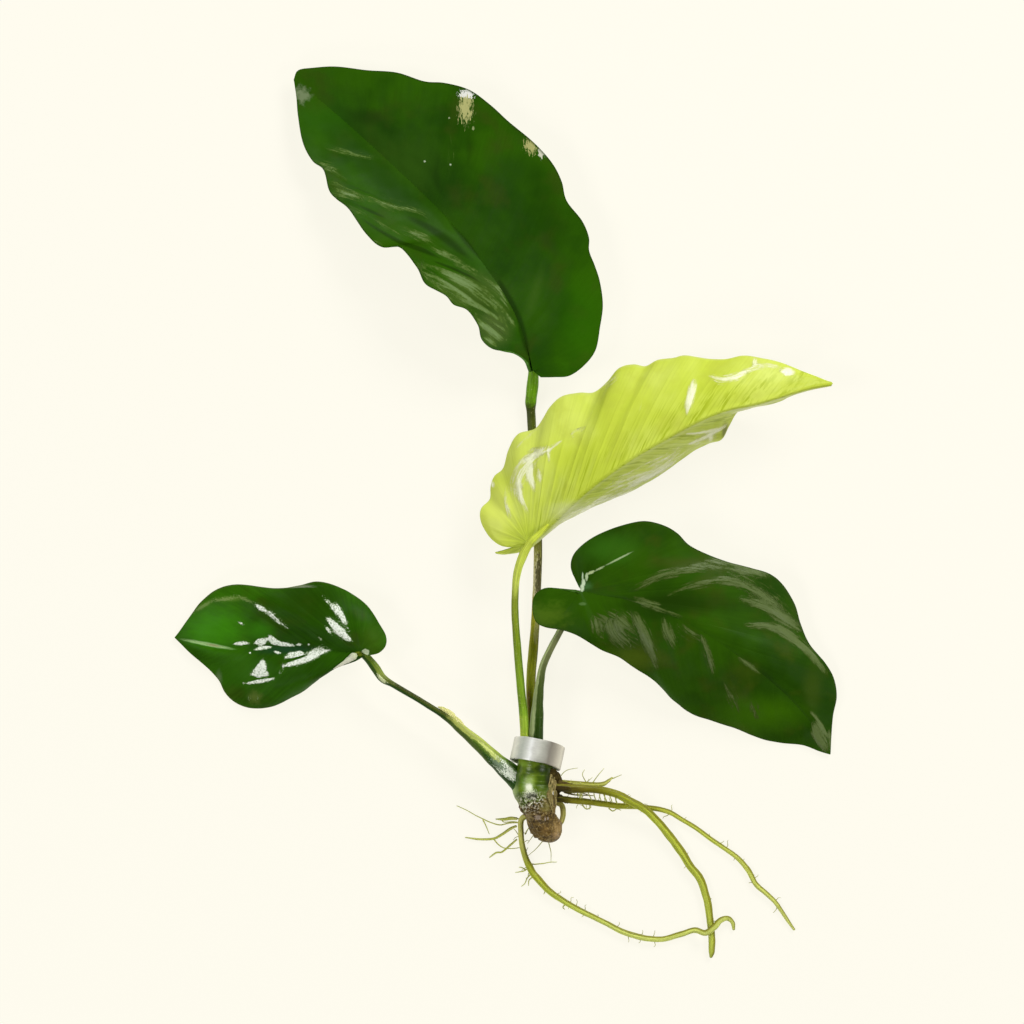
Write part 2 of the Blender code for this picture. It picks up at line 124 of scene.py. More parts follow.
class SmoothPath:
    """A smooth curve through points, read by the share of its length."""

    def __init__(self, points: Points) -> None:
        """Samples the curve.

        Args:
            points: The points it runs through, in two or three dimensions.
        """
        corners = [Vector(point) for point in points]
        padded = [2 * corners[0] - corners[1], *corners, 2 * corners[-1] - corners[-2]]
        self.points = [corners[0]]
        self.lengths = [0.0]
        for index in range(len(corners) - 1):
            for step in range(1, PATH_SAMPLES + 1):
                point = catmull_rom(*padded[index : index + 4], step / PATH_SAMPLES)
                self.lengths.append(self.lengths[-1] + (point - self.points[-1]).length)
                self.points.append(point)

    @property
    def length(self) -> float:
        """The length of the whole curve."""
        return self.lengths[-1]

    def at(self, share: float) -> Vector:
        """Finds a point of the curve.

        Args:
            share: The share of its length, from 0 to 1.

        Returns:
            The point.
        """
        wanted = min(max(share, 0.0), 1.0) * self.lengths[-1]
        index = bisect_left(self.lengths, wanted)
        if index == 0:
            return self.points[0].copy()
        index = min(index, len(self.points) - 1)
        step = self.lengths[index] - self.lengths[index - 1]
        return self.points[index - 1].lerp(self.points[index], (wanted - self.lengths[index - 1]) / step)

    def heading(self, share: float) -> Vector:
        """The direction of the curve at a share of its length, one unit long."""
        return (self.at(share + 0.01) - self.at(share - 0.01)).normalized()


def swell(point: Vector, size: float, seed: float) -> float:
    """Reads smooth noise from about -1 to 1, with swellings of a size in millimetres."""
    return noise.noise(point / size + Vector((seed, seed * 1.7, seed * 0.3)))


def ease(value: float, low: float, high: float) -> float:
    """Rises smoothly from 0 at low to 1 at high."""
    share = min(max((value - low) / (high - low), 0.0), 1.0)
    return share * share * (3 - 2 * share)


# ---------------------------------------------------------------- shader nodes


class Value:
    """An output of a node. Each sign of arithmetic adds a Math node."""

    def __init__(self, graph: "Graph", socket: Socket) -> None:
        """Keeps the graph and the socket."""
        self.graph, self.socket = graph, socket

    def __add__(self, other: "Term") -> "Value":
        """The sum."""
        return self.graph.math("ADD", self, other)

    def __sub__(self, other: "Term") -> "Value":
        """The difference."""
        return self.graph.math("SUBTRACT", self, other)

    def __rsub__(self, other: float) -> "Value":
        """The difference, from a number."""
        return self.graph.math("SUBTRACT", other, self)

    def __mul__(self, other: "Term") -> "Value":
        """The product."""
        return self.graph.math("MULTIPLY", self, other)

    def __truediv__(self, other: "Term") -> "Value":
        """The quotient."""
        return self.graph.math("DIVIDE", self, other)


Term = Value | float
Paint = Value | Colour


class Graph:
    """A node tree that is being wired, with one short method for each kind of node."""

    def __init__(self, tree: bpy.types.NodeTree) -> None:
        """Keeps the material's, world's or group's node tree."""
        self.tree = tree

    def node(self, kind: str, **settings: object) -> bpy.types.Node:
        """Adds a node.

        Args:
            kind: The node's Blender type.
            settings: Its properties, by name.

        Returns:
            The new node.
        """
        made = self.tree.nodes.new(kind)
        for name, value in settings.items():
            setattr(made, name, value)
        return made

    def feed(self, socket: Socket, value: object) -> None:
        """Links a socket to another, or sets it to a constant.

        Args:
            socket: The input.
            value: A value of this graph, a number, a vector or a colour.
        """
        if isinstance(value, Value):
            self.tree.links.new(value.socket, socket)
        else:
            socket.default_value = (*value, 1.0) if socket.type == "RGBA" else value

    def fill(self, node: bpy.types.Node, **values: object) -> bpy.types.Node:
        """Feeds inputs of a node.

        Args:
            node: The node.
            values: Its inputs by name, with _ for a space.

        Returns:
            The node.
        """
        for name, value in values.items():
            self.feed(node.inputs[name.replace("_", " ")], value)
        return node

    def chain(self, node: bpy.types.Node, *values: object, output: int = 0) -> Value:
        """Feeds the first inputs of a node.

        Args:
            node: The node.
            values: Its inputs, in order.
            output: Which output is wanted.

        Returns:
            That output.
        """
        for socket, value in zip(node.inputs, values):
            self.feed(socket, value)
        return Value(self, node.outputs[output])

    def math(self, operation: str, *values: Term, clamp: bool = False) -> Value:
        """Adds a Math node, whose result may be kept from 0 to 1."""
        return self.chain(self.node("ShaderNodeMath", operation=operation, use_clamp=clamp), *values)

    def vector(self, operation: str, *values: object, output: int = 0) -> Value:
        """Adds a Vector Math node, whose output 1 is a plain value."""
        return self.chain(self.node("ShaderNodeVectorMath", operation=operation), *values, output=output)

    def smooth(self, value: Term, low: Term, high: Term, start: float = 0.0, end: float = 1.0) -> Value:
        """Maps low..high smoothly to start..end, held at both ends."""
        made = self.node("ShaderNodeMapRange", interpolation_type="SMOOTHSTEP")
        return self.chain(made, value, low, high, start, end)

    def mix(self, share: Term, first: Paint, second: Paint, blend: str = "MIX") -> Value:
        """Mixes two colours.

        Args:
            share: How much of the second shows.
            first: A colour.
            second: A colour.
            blend: The node's blend type.

        Returns:
            The mixed colour.
        """
        made = self.node("ShaderNodeMix", data_type="RGBA", blend_type=blend)
        for index, value in ((0, share), (6, first), (7, second)):
            self.feed(made.inputs[index], value)
        return Value(self, made.outputs[2])

    def shade(self, colour: Paint, factor: Value) -> Value:
        """Darkens or lightens a colour by a factor."""
        return self.mix(1.0, colour, self.combine(factor, factor, factor), "MULTIPLY")

    def ramp(self, value: Value, stops: Stops) -> Value:
        """Reads a colour between stops.

        Args:
            value: The place among the stops.
            stops: The place and colour of each, in order.

        Returns:
            The colour.
        """
        made = self.node("ShaderNodeValToRGB")
        elements = made.color_ramp.elements
        while len(elements) < len(stops):
            elements.new(1.0)
        for element, (stop, colour) in zip(elements, stops):
            element.position, element.color = stop, (*colour, 1.0)
        return self.chain(made, value)

    def noise(self, vector: Value, scale: Term, detail: float = 3.0, roughness: float = 0.55) -> Value:
        """Adds a Noise Texture.

        Args:
            vector: The place.
            scale: How fine it is.
            detail: How many finer layers lie in it.
            roughness: How strong those are.

        Returns:
            Its value, from 0 to 1.
        """
        made = self.node("ShaderNodeTexNoise")
        self.fill(made, Vector=vector, Scale=scale, Detail=detail, Roughness=roughness)
        return Value(self, made.outputs[0])

    def combine(self, *values: Term) -> Value:
        """Makes a vector of three values."""
        return self.chain(self.node("ShaderNodeCombineXYZ"), *values)

    def separate(self, vector: Value) -> list[Value]:
        """Splits a vector into its three values."""
        made = self.fill(self.node("ShaderNodeSeparateXYZ"), Vector=vector)
        return [Value(self, output) for output in made.outputs]

    def attribute(self, name: str, output: str = "Vector") -> Value:
        """Reads an attribute of the mesh, as a vector, or as a value with the output Fac."""
        return Value(self, self.node("ShaderNodeAttribute", attribute_name=name).outputs[output])

    def place(self) -> Value:
        """Reads the Object coordinates, in metres."""
        return Value(self, self.node("ShaderNodeTexCoord").outputs["Object"])

    def bump(self, height: Value, distance: float) -> Value:
        """Turns a height into a normal, where a height of 1 measures the distance, in metres."""
        made = self.fill(self.node("ShaderNodeBump"), Distance=distance, Height=height)
        return Value(self, made.outputs[0])

    def use(self, group: bpy.types.NodeTree, **values: object) -> list[Value]:
        """Places a node group with its inputs, and returns its outputs."""
        made = self.fill(self.node("ShaderNodeGroup", node_tree=group), **values)
        return [Value(self, output) for output in made.outputs]


class MaterialGraph(Graph):
    """The node tree of a new material."""

    def __init__(self, name: str) -> None:
        """Starts the material.

        Args:
            name: Its name.
        """
        self.material = bpy.data.materials.new(name)
        self.material.use_nodes = True
        super().__init__(self.material.node_tree)

    def finished(self, **inputs: object) -> bpy.types.Material:
        """Feeds the Principled shader.

        Args:
            inputs: Its inputs by name, with _ for a space.

        Returns:
            The material.
        """
        self.fill(self.tree.nodes["Principled BSDF"], **inputs)
        return self.material


NO_VECTOR = (0.0, 0.0, 0.0)


def new_group(
    name: str, inputs: dict[str, object], *outputs: str
) -> tuple[Graph, list[Value], bpy.types.Node]:
    """Starts a shader node group.

    Args:
        name: The group's name.
        inputs: Each input's name and default: a number, or three numbers for a vector.
        outputs: The names of the outputs, all plain values.

    Returns:
        The graph to wire, the inputs in order, and the output node.
    """
    tree = bpy.data.node_groups.new(name, "ShaderNodeTree")
    for title, default in inputs.items():
        kind = "NodeSocketVector" if isinstance(default, tuple) else "NodeSocketFloat"
        socket = tree.interface.new_socket(name=title, in_out="INPUT", socket_type=kind)
        socket.default_value = default
    for title in outputs:
        tree.interface.new_socket(name=title, in_out="OUTPUT", socket_type="NodeSocketFloat")
    graph = Graph(tree)
    start = graph.node("NodeGroupInput")
    return graph, [Value(graph, start.outputs[title]) for title in inputs], graph.node("NodeGroupOutput")


def vein_lines() -> bpy.types.NodeTree:
    """Makes the effect of thin lines along the veins, from the blade's own vein attribute.

    Returns:
        The node group.
    """
    inputs = {"Vein": NO_VECTOR, "Density": 1.0, "Width": 0.3}
    graph, (vein, density, width), end = new_group("vein_lines", inputs, "Line", "Between")
    phase, _, spacing = graph.separate(vein)
    off_vein = 0.5 - graph.math("PINGPONG", phase * density + 0.5, 0.5)
    gap = spacing / density
    near = graph.smooth(off_vein * gap, 0.0, width, 1.0, 0.0)
    room = graph.math("DIVIDE", gap, width * 4.0, clamp=True)
    graph.fill(end, Line=near * room, Between=off_vein * 2.0)
    return graph.tree


def mottle() -> bpy.types.NodeTree:
    """Makes the effect of soft irregular patches of a given size.

    Returns:
        The node group.
    """
    inputs = {"Vector": NO_VECTOR, "Scale": 60.0, "Low": 0.4, "High": 0.6}
    graph, (vector, scale, low, high), end = new_group("mottle", inputs, "Mask")
    graph.fill(end, Mask=graph.smooth(graph.noise(vector, scale, 4.0, 0.5), low, high))
    return graph.tree


def fine_grain() -> bpy.types.NodeTree:
    """Makes the effect of fine grain that changes quickly across a direction and slowly along it.

    Returns:
        The node group.
    """
    inputs = {"Across": 0.0, "Along": 0.0, "Fineness": 8.0, "Stretch": 2.0, "Seed": 0.0}
    graph, (across, along, fineness, stretch, seed), end = new_group("grain", inputs, "Value")
    graph.fill(end, Value=graph.noise(graph.combine(across * fineness, along * stretch, seed), 1.0, 3.0, 0.6))
    return graph.tree


def ragged_patch() -> bpy.types.NodeTree:
    """Makes the effect of an irregular patch round a centre, used for scuffs and stains and for painted
    highlights and shade.

    Returns:
        The node group.
    """
    inputs = {
        "Vector": NO_VECTOR, "Centre": NO_VECTOR, "Stretch": (1.0, 1.0, 0.0), "Turn": 0.0, "Ragged": 0.6,
        "Tears": (400.0, 400.0, 400.0), "Soft": 0.5,
    }
    graph, (place, centre, stretch, turn, ragged, tears, soft), end = new_group("patch", inputs, "Mask")
    level = graph.node("ShaderNodeVectorRotate", rotation_type="Z_AXIS")
    graph.fill(level, Vector=graph.vector("SUBTRACT", place, centre), Angle=turn * (-math.pi / 180))
    scaled = graph.vector("MULTIPLY", Value(graph, level.outputs[0]), stretch)
    distance = graph.vector("LENGTH", scaled, output=1)
    torn = graph.noise(graph.vector("MULTIPLY", place, tears), 1.0, 6.0, 0.7)
    reach = distance + (torn - 0.5) * ragged
    graph.fill(end, Mask=graph.smooth(reach, 1.0 - soft, 1.0, 1.0, 0.0))
    return graph.tree


VEIN_LINES, MOTTLE, GRAIN, PATCH = vein_lines(), mottle(), fine_grain(), ragged_patch()


# ---------------------------------------------------------------- finishes


@dataclass(frozen=True)
class Patch:
    """A patch of another colour on a blade: its middle, its reach each way, and how torn its edge is."""

    centre: tuple[float, float]
    reach: tuple[float, float]
    colour: Colour
    strength: float = 1.0
    ragged: float = 0.5
    tears: tuple[float, float] = (10.0, 10.0)  # their size each way, in millimetres
    soft: float = 0.9
    turn: float = 0.0  # degrees, to the left


@dataclass(frozen=True)
class Finish:
    """What every finish has: a name, and the record's material slot."""

    name: str
    slot: Slot

    def material(self) -> bpy.types.Material:
        """Builds the material, in each kind of finish its own way."""
        raise NotImplementedError


def patched(graph: Graph, place: Value, colour: Value, patches: tuple[Patch, ...]) -> Value:
    """Lays patches over a colour.

    Args:
        graph: The material's graph.
        place: The place, in metres.
        colour: The colour below.
        patches: The patches, the lowest first.

    Returns:
        The colour with its patches.
    """
    for patch in patches:
        mask = graph.use(
            PATCH, Vector=place, Centre=tuple(value * MM for value in (*patch.centre, 0.0)),
            Stretch=tuple(1 / (value * MM) for value in patch.reach) + (0.0,),
            Tears=tuple(1 / (value * MM) for value in patch.tears) + (1.0,),
            Turn=patch.turn, Ragged=patch.ragged, Soft=patch.soft,
        )[0]
        colour = graph.mix(mask * patch.strength, colour, patch.colour)
    return colour


@dataclass(frozen=True)
class LeafFinish(Finish):
    """The skin of a leaf: ground colours, veins, glossy streaks with painted highlights and shade, and
    patches.
    """

    deep: Colour
    fresh: Colour
    vein: Colour
    under: Colour
    rim: Colour
    faint_glint: Colour  # painted sheen, where a streak's glint is faint
    wet_glint: Colour  # painted highlight, where a streak's glint is palest
    vein_strength: float
    fine_strength: float
    roughness: tuple[float, float]
    gloss: float  # of the dry skin
    wet_gloss: float
    # how far the painted highlight pales the colour at most
    glint_paleness: float
    wet_roughness: float = 0.14
    wrinkle: float = 0.5  # how strongly the skin of the glossy streaks is wrinkled
    strands: float = 2.0  # how far a streak breaks up along its length
    speckle: float = 0.3  # how dark the specks in it are
    sparkle: float = 0.1  # how bright the painted sparkles round it are
    fray: float = 1.0  # how ragged the edges of the streaks are
    sheen: float = 0.3  # the share of the painted glint that fades softly instead of ending in an edge
    brown: Colour = (0.035, 0.06, 0.003)  # of faint age stains
    brown_strength: float = 0.5
    grain: float = 0.4  # of the dry skin, along the veins
    pocket: Colour = (0.0, 0.0, 0.0)  # between the veins, close to the midrib
    pocket_strength: float = 0.0
    pocket_reach: float = 12.0  # millimetres
    patches: tuple[Patch, ...] = ()

    def material(self) -> bpy.types.Material:
        """Builds the material.

        Returns:
            The material.
        """
        graph = MaterialGraph(self.name)
        place = graph.place()
        vein = graph.attribute("vein")
        phase, across, _ = graph.separate(vein)
        _, rib, skin = graph.separate(graph.attribute("blade"))
        glint_and_shade = graph.attribute("glint_and_shade", "Fac")
        grain = graph.use(GRAIN, Across=phase, Along=across, Fineness=7.0, Stretch=2.5)[0]
        worn = graph.noise(place, 700.0, 4.0, 0.65)
        main, between = graph.use(VEIN_LINES, Vein=vein, Density=1.0, Width=0.35)
        fine = graph.use(VEIN_LINES, Vein=vein, Density=5.0, Width=0.16)[0]
        faint = fine * graph.smooth(graph.noise(place, 120.0), 0.35, 0.65) * self.fine_strength
        line = graph.math("ADD", main * self.vein_strength, faint, clamp=True)
        line = line * graph.smooth(across, 0.2, 0.85, 1.0, 0.3)
        near_rib = graph.smooth(rib, 0.6, self.pocket_reach, 1.0, 0.0)
        pocket = graph.math("MULTIPLY", near_rib, between * graph.smooth(grain, 0.44, 0.6), clamp=True)
        colour = graph.mix(pocket * self.pocket_strength, self._ground(graph, place, grain), self.pocket)
        colour = patched(graph, place, graph.mix(line, colour, self.vein), self.patches)
        # Painted highlight: the streaks' glint colours go into the colour where they are glossy, and the same
        # mask lowers the roughness.
        wet_glint = self._wet_glint_mask(graph, place, glint_and_shade, worn) * skin
        colour = graph.mix(graph.smooth(wet_glint, 0.0, 0.4), colour, self.faint_glint)
        colour = graph.mix(graph.smooth(wet_glint, 0.3, 0.9, 0.0, self.glint_paleness), colour, self.wet_glint)
        # Painted shade: a streak below 0 darkens the colour along its furrow.
        colour = graph.shade(colour, graph.smooth(glint_and_shade, -0.5, -0.05, 0.55, 1.0))
        colour = graph.mix(graph.smooth(across, 0.975, 1.0) * 0.8, colour, self.rim)
        dry = graph.smooth((grain + worn) * 0.5, 0.3, 0.7, *self.roughness)
        height = (grain * self.grain + line * -0.8) * 0.25 + worn * wet_glint * self.wrinkle
        return graph.finished(
            Base_Color=graph.mix(skin, graph.mix(line * 0.5, self.under, self.vein), colour),
            Roughness=dry - (dry - self.wet_roughness) * wet_glint,
            Specular_IOR_Level=graph.smooth(wet_glint, 0.0, 1.0, self.gloss, self.wet_gloss),
            Normal=graph.bump(height, 0.3 * MM),
        )

    def _ground(self, graph: Graph, place: Value, grain: Value) -> Value:
        """Mottles the two ground colours and streaks them along the veins.

        Args:
            graph: The material's graph.
            place: The Object coordinates.
            grain: The grain along the veins.

        Returns:
            The colour.
        """
        tint = graph.use(MOTTLE, Vector=place, Scale=42.0, Low=0.35, High=0.65)[0]
        stain = graph.use(MOTTLE, Vector=place, Scale=95.0, Low=0.5, High=0.72)[0]
        colour = graph.mix(stain * self.brown_strength, graph.mix(tint, self.deep, self.fresh), self.brown)
        tone = graph.smooth(grain, 0.3, 0.7, 1 - 0.45 * self.grain, 1 + 0.55 * self.grain)
        return graph.shade(colour, tone)

    def _wet_glint_mask(self, graph: Graph, place: Value, glint_and_shade: Value, worn: Value) -> Value:
        """Breaks the glossy streaks and their painted highlight up into strands and specks.

        Args:
            graph: The material's graph.
            place: The Object coordinates.
            glint_and_shade: How strongly the streaks' painted highlight shows here; below 0 it is their
                painted shade.
            worn: The noise that frays them.

        Returns:
            How glossy a place is, which is also how much painted highlight it takes.
        """
        off, run, number = graph.separate(graph.attribute("flow"))
        strand = graph.noise(graph.combine(off * 1.5, run * 0.13, number), 1.0, 4.0, 0.7)
        torn = (strand - 0.5) * self.strands
        grit = graph.noise(place, 1900.0, 3.0, 0.6)
        crisp = graph.smooth(glint_and_shade + (torn + (worn - 0.5) * self.fray), 0.35, 0.6)
        crisp = crisp * graph.smooth(grit, 0.46, 0.6, 1.0, 1 - self.speckle)
        sparks = graph.smooth(glint_and_shade, 0.04, 0.3, 0.0, self.sparkle) * graph.smooth(grit, 0.38, 0.44, 1.0, 0.0)
        crisp = graph.math("MAXIMUM", crisp, sparks)
        wet_glint = crisp * (1 - self.sheen) + graph.smooth(glint_and_shade + torn, 0.0, 1.3) * self.sheen
        return wet_glint * graph.smooth(glint_and_shade, 0.02, 0.3)


@dataclass(frozen=True)
class StemFinish(Finish):
    """The skin of a stalk or root: colours along it, a flank colour that is partly painted shade, grain and
    specks.
    """

    along: Stops  # share of the length, colour
    flank: Colour
    flank_side: float = 0.0  # the angle round the stem, in radians, 0 at its left and a quarter turn on top
    flank_reach: float = 0.5
    speck: Colour = (0.5, 0.5, 0.2)
    speck_strength: float = 0.3
    roughness: tuple[float, float] = (0.3, 0.5)
    coat: float = 0.03
    grain: float = 0.25
    flank_until: float = 1.1  # share of the length where the flank's colour ends
    patches: tuple[Patch, ...] = ()  # placed by millimetres along the stem, and round it from its top

    def material(self) -> bpy.types.Material:
        """Builds the material.

        Returns:
            The material.
        """
        graph = MaterialGraph(self.name)
        place = graph.place()
        share, cosine, sine = graph.separate(graph.attribute("along"))
        length, radius, _ = graph.separate(graph.attribute("run"))
        jitter = (graph.noise(place, 350.0) - 0.5) * 0.08
        colour = graph.ramp(share + jitter, self.along)
        towards = cosine * math.cos(self.flank_side) + sine * math.sin(self.flank_side)
        begins = 1 - 1.6 * self.flank_reach
        flank = graph.smooth(towards + jitter * 6.0, begins, begins + 0.3)
        fading = graph.smooth(share, self.flank_until - 0.08, self.flank_until, 0.85, 0.0)
        # the flank's colour, on the dark stalks partly painted shade
        colour = graph.mix(flank * fading, colour, self.flank)
        if self.patches:
            around = (graph.math("ARCTAN2", sine, cosine) - math.pi / 2) * radius
            colour = patched(graph, graph.combine(length * MM, around * MM, 0.0), colour, self.patches)
        grain = graph.noise(graph.combine(cosine * 4.0, sine * 4.0, length * 0.1), 1.0, 4.0, 0.65)
        colour = graph.shade(colour, graph.smooth(grain, 0.3, 0.7, 1 - self.grain, 1 + self.grain))
        specks = graph.smooth(graph.noise(place, 1500.0, 2.0, 0.5), 0.62, 0.72)
        return graph.finished(
            Base_Color=graph.mix(specks * self.speck_strength, colour, self.speck),
            Roughness=graph.smooth(grain, 0.3, 0.7, *self.roughness),
            Normal=graph.bump(grain, 0.15 * MM),
            Specular_IOR_Level=0.12,
            Coat_Weight=self.coat,
            Coat_Roughness=0.12,
        )


@dataclass(frozen=True)
class CrownFinish(Finish):
    """The thick creeping stem: glossy green, then a gritty crust and golden-brown cork at its old end."""

    green: Colour = (0.06, 0.115, 0.004)
    lit_green: Colour = (0.2, 0.3, 0.02)
    cork: Colour = (0.2, 0.125, 0.022)
    dark_cork: Colour = (0.06, 0.033, 0.005)
    flake: Colour = (0.5, 0.36, 0.13)
    crust: Colour = (0.78, 0.76, 0.6)
    crust_dark: Colour = (0.018, 0.015, 0.003)
    green_until: float = 0.5  # share of the length
    ring_pitch: float = 1.15  # millimetres
    crust_edge: float = 10.5  # where the crust thins out, in millimetres along X
    patches: tuple[Patch, ...] = ()

    def material(self) -> bpy.types.Material:
        """Builds the material.

        Returns:
            The material.
        """
        graph = MaterialGraph(self.name)
        place = graph.place()
        share, _, sine = graph.separate(graph.attribute("along"))
        length = graph.separate(graph.attribute("run"))[0]
        patchy = (graph.noise(place, 280.0, 5.0, 0.6) - 0.5) * 0.4
        age = graph.smooth(share + patchy, self.green_until - 0.03, self.green_until + 0.09)
        skin = graph.mix(graph.smooth(graph.noise(place, 200.0), 0.35, 0.65), self.green, self.lit_green)
        ring_line = graph.smooth(graph.math("PINGPONG", length / self.ring_pitch, 0.5), 0.0, 0.16, 1.0, 0.0)
        faint = ring_line * graph.smooth(graph.noise(place, 500.0), 0.35, 0.6)
        skin = graph.mix(faint * 0.5, skin, self.lit_green)
        coarse = graph.noise(place, 900.0, 5.0, 0.7)
        bark = graph.mix(graph.smooth(coarse, 0.38, 0.62), self.dark_cork, self.cork)
        flakes = graph.smooth(graph.noise(place, 1300.0, 3.0, 0.6), 0.55, 0.63, 0.0, 0.75)
        bark = graph.mix(flakes, bark, self.flake)
        colour = patched(graph, place, graph.mix(age, skin, bark), self.patches)
        near = graph.math("ABSOLUTE", share - (self.green_until + 0.06))
        edge = self.crust_edge
        beside = graph.smooth(graph.separate(place)[0], edge * MM, (edge + 3) * MM, 1.0, 0.15)
        belt = graph.smooth(near, 0.02, 0.13, 1.0, 0.0) * graph.smooth(sine, 0.1, 0.8) * beside
        grit = graph.noise(place, 1300.0, 3.0, 0.7)
        colour = graph.mix(belt * graph.smooth(grit, 0.42, 0.48, 1.0, 0.0), colour, self.crust_dark)
        return graph.finished(
            Base_Color=graph.mix(belt * graph.smooth(grit, 0.53, 0.58), colour, self.crust),
            Roughness=graph.smooth(age, 0.0, 1.0, 0.3, 0.42),
            Normal=graph.bump((coarse + grit * 0.3) * age + ring_line * -0.05, 0.9 * MM),
            Specular_IOR_Level=0.3,
            Coat_Weight=0.02,
            Coat_Roughness=0.1,
        )


@dataclass(frozen=True)
class FibreFinish(Finish):
    """Dry shreds of old sheath: tan, streaked along their length."""

    light: Colour
    dark: Colour

    def material(self) -> bpy.types.Material:
        """Builds the material.

        Returns:
            The material.
        """
        graph = MaterialGraph(self.name)
        place = graph.place()
        _, cosine, sine = graph.separate(graph.attribute("along"))
        length = graph.separate(graph.attribute("run"))[0]
        streak = graph.noise(graph.combine(cosine * 3.0, sine * 3.0, length * 0.25), 1.6, 5.0, 0.7)
        mask = graph.smooth(streak + graph.noise(place, 420.0, 3.0, 0.6) * 0.6, 0.6, 0.95)
        return graph.finished(
            Base_Color=graph.mix(mask, self.dark, self.light), Roughness=0.75, Specular_IOR_Level=0.15,
            Normal=graph.bump(streak, 0.2 * MM),
        )


BAND_RADIUS = 8.5  # outside, in millimetres


@dataclass(frozen=True)
class BandFinish(Finish):
    """Soft grey metal, bent by hand, brushed along the strip, with painted light and shade in bands round it.
    """

    painted_light_bands: Stops = (
        (0.0, (0.45, 0.42, 0.34)), (0.07, (0.72, 0.68, 0.56)), (0.12, (0.5, 0.46, 0.37)),
        (0.175, (0.19, 0.17, 0.13)), (0.225, (0.42, 0.42, 0.35)), (0.25, (0.6, 0.6, 0.52)),
        (0.28, (0.72, 0.72, 0.65)), (0.3, (0.96, 0.97, 0.92)), (0.325, (0.72, 0.74, 0.66)),
        (0.36, (0.6, 0.64, 0.55)), (0.385, (0.68, 0.7, 0.62)), (0.43, (1.0, 0.98, 0.9)),
        (0.5, (0.6, 0.6, 0.54)),
    )  # share of the turn from the right over the top, colour: pale stops painted highlights, dark ones painted shade
    metallic: float = 0.2
    roughness: tuple[float, float] = (0.36, 0.5)

    def material(self) -> bpy.types.Material:
        """Builds the material.

        Returns:
            The material.
        """
        graph = MaterialGraph(self.name)
        place = graph.place()
        angle, along, _ = graph.separate(graph.attribute("strip"))
        smudge = graph.noise(place, 260.0, 4.0, 0.6)
        # painted highlights and shade in bands round the strip
        colour = graph.ramp(angle / (2 * math.pi * BAND_RADIUS) + (smudge - 0.5) * 0.03, self.painted_light_bands)
        brushed = graph.use(GRAIN, Across=along, Along=angle, Fineness=3.5, Stretch=0.5)[0]
        tone = brushed * 0.5 + smudge * 0.5
        return graph.finished(
            Base_Color=graph.shade(colour, graph.smooth(tone, 0.3, 0.7, 0.88, 1.08)),
            Metallic=self.metallic,
            Roughness=graph.smooth(tone, 0.3, 0.7, *self.roughness),
            Normal=graph.bump(brushed, 0.015 * MM),
        )


# ---------------------------------------------------------------- blades


@dataclass(frozen=True)
class Side:
    """One half of a leaf: its edge from the stalk's notch to the tip, with heights spread evenly along it."""

    edge: Points
    edge_heights: tuple[float, ...]
    crown: tuple[float, ...]  # how far the half bulges up between midrib and edge, spread evenly
    fan_share: float  # the share of the edge whose veins fan out from the stalk
    vein_lean: float  # the larger, the further the other veins lean towards the tip
    vein_count: float = 14
    quilt: float = 0.25  # how far the skin swells between two veins, in millimetres


@dataclass(frozen=True)
class Streak:
    """A fold along a smooth line on a blade, with painted light: above 0 a painted highlight, below 0 a
    painted dark line of shade.
    """

    line: Points
    width: float  # from the line to where it fades, in millimetres
    # painted highlight above 0, painted shade in the furrow below 0
    glint_and_shade: float
    height: float = 0.0  # of the ridge, or of the valley below 0, in millimetres


@dataclass(frozen=True)
class Leaf:
    """A leaf blade: its midrib with heights spread evenly along it, and its two halves.

    Left and right are as seen from above, looking from the stalk to the tip.
    """

    name: str
    midrib: Points
    midrib_heights: tuple[float, ...]
    left: Side
    right: Side
    facing: Skin = Skin.UPPER
    streaks: tuple[Streak, ...] = ()
    waviness: float = 0.5  # of the whole blade, in millimetres
    hollow: float = 0.0  # how far the fold at the midrib is rounded up, in millimetres
    seed: float = 0.0


VEIN_SWEEP = 0.16  # how far a vein bends towards the tip, as a share of its length
FAN_ROWS = 0.25  # the share of a leaf's rows whose veins all start at the stalk
ROOT_BUNCHING = 1.8  # above 1, the veins leave the midrib closer together near the stalk
STREAK_PIECES = 12  # straight pieces that a streak's line is measured by
STREAK_OFFSET = 3.7  # keeps the noise of one streak apart from the next one's


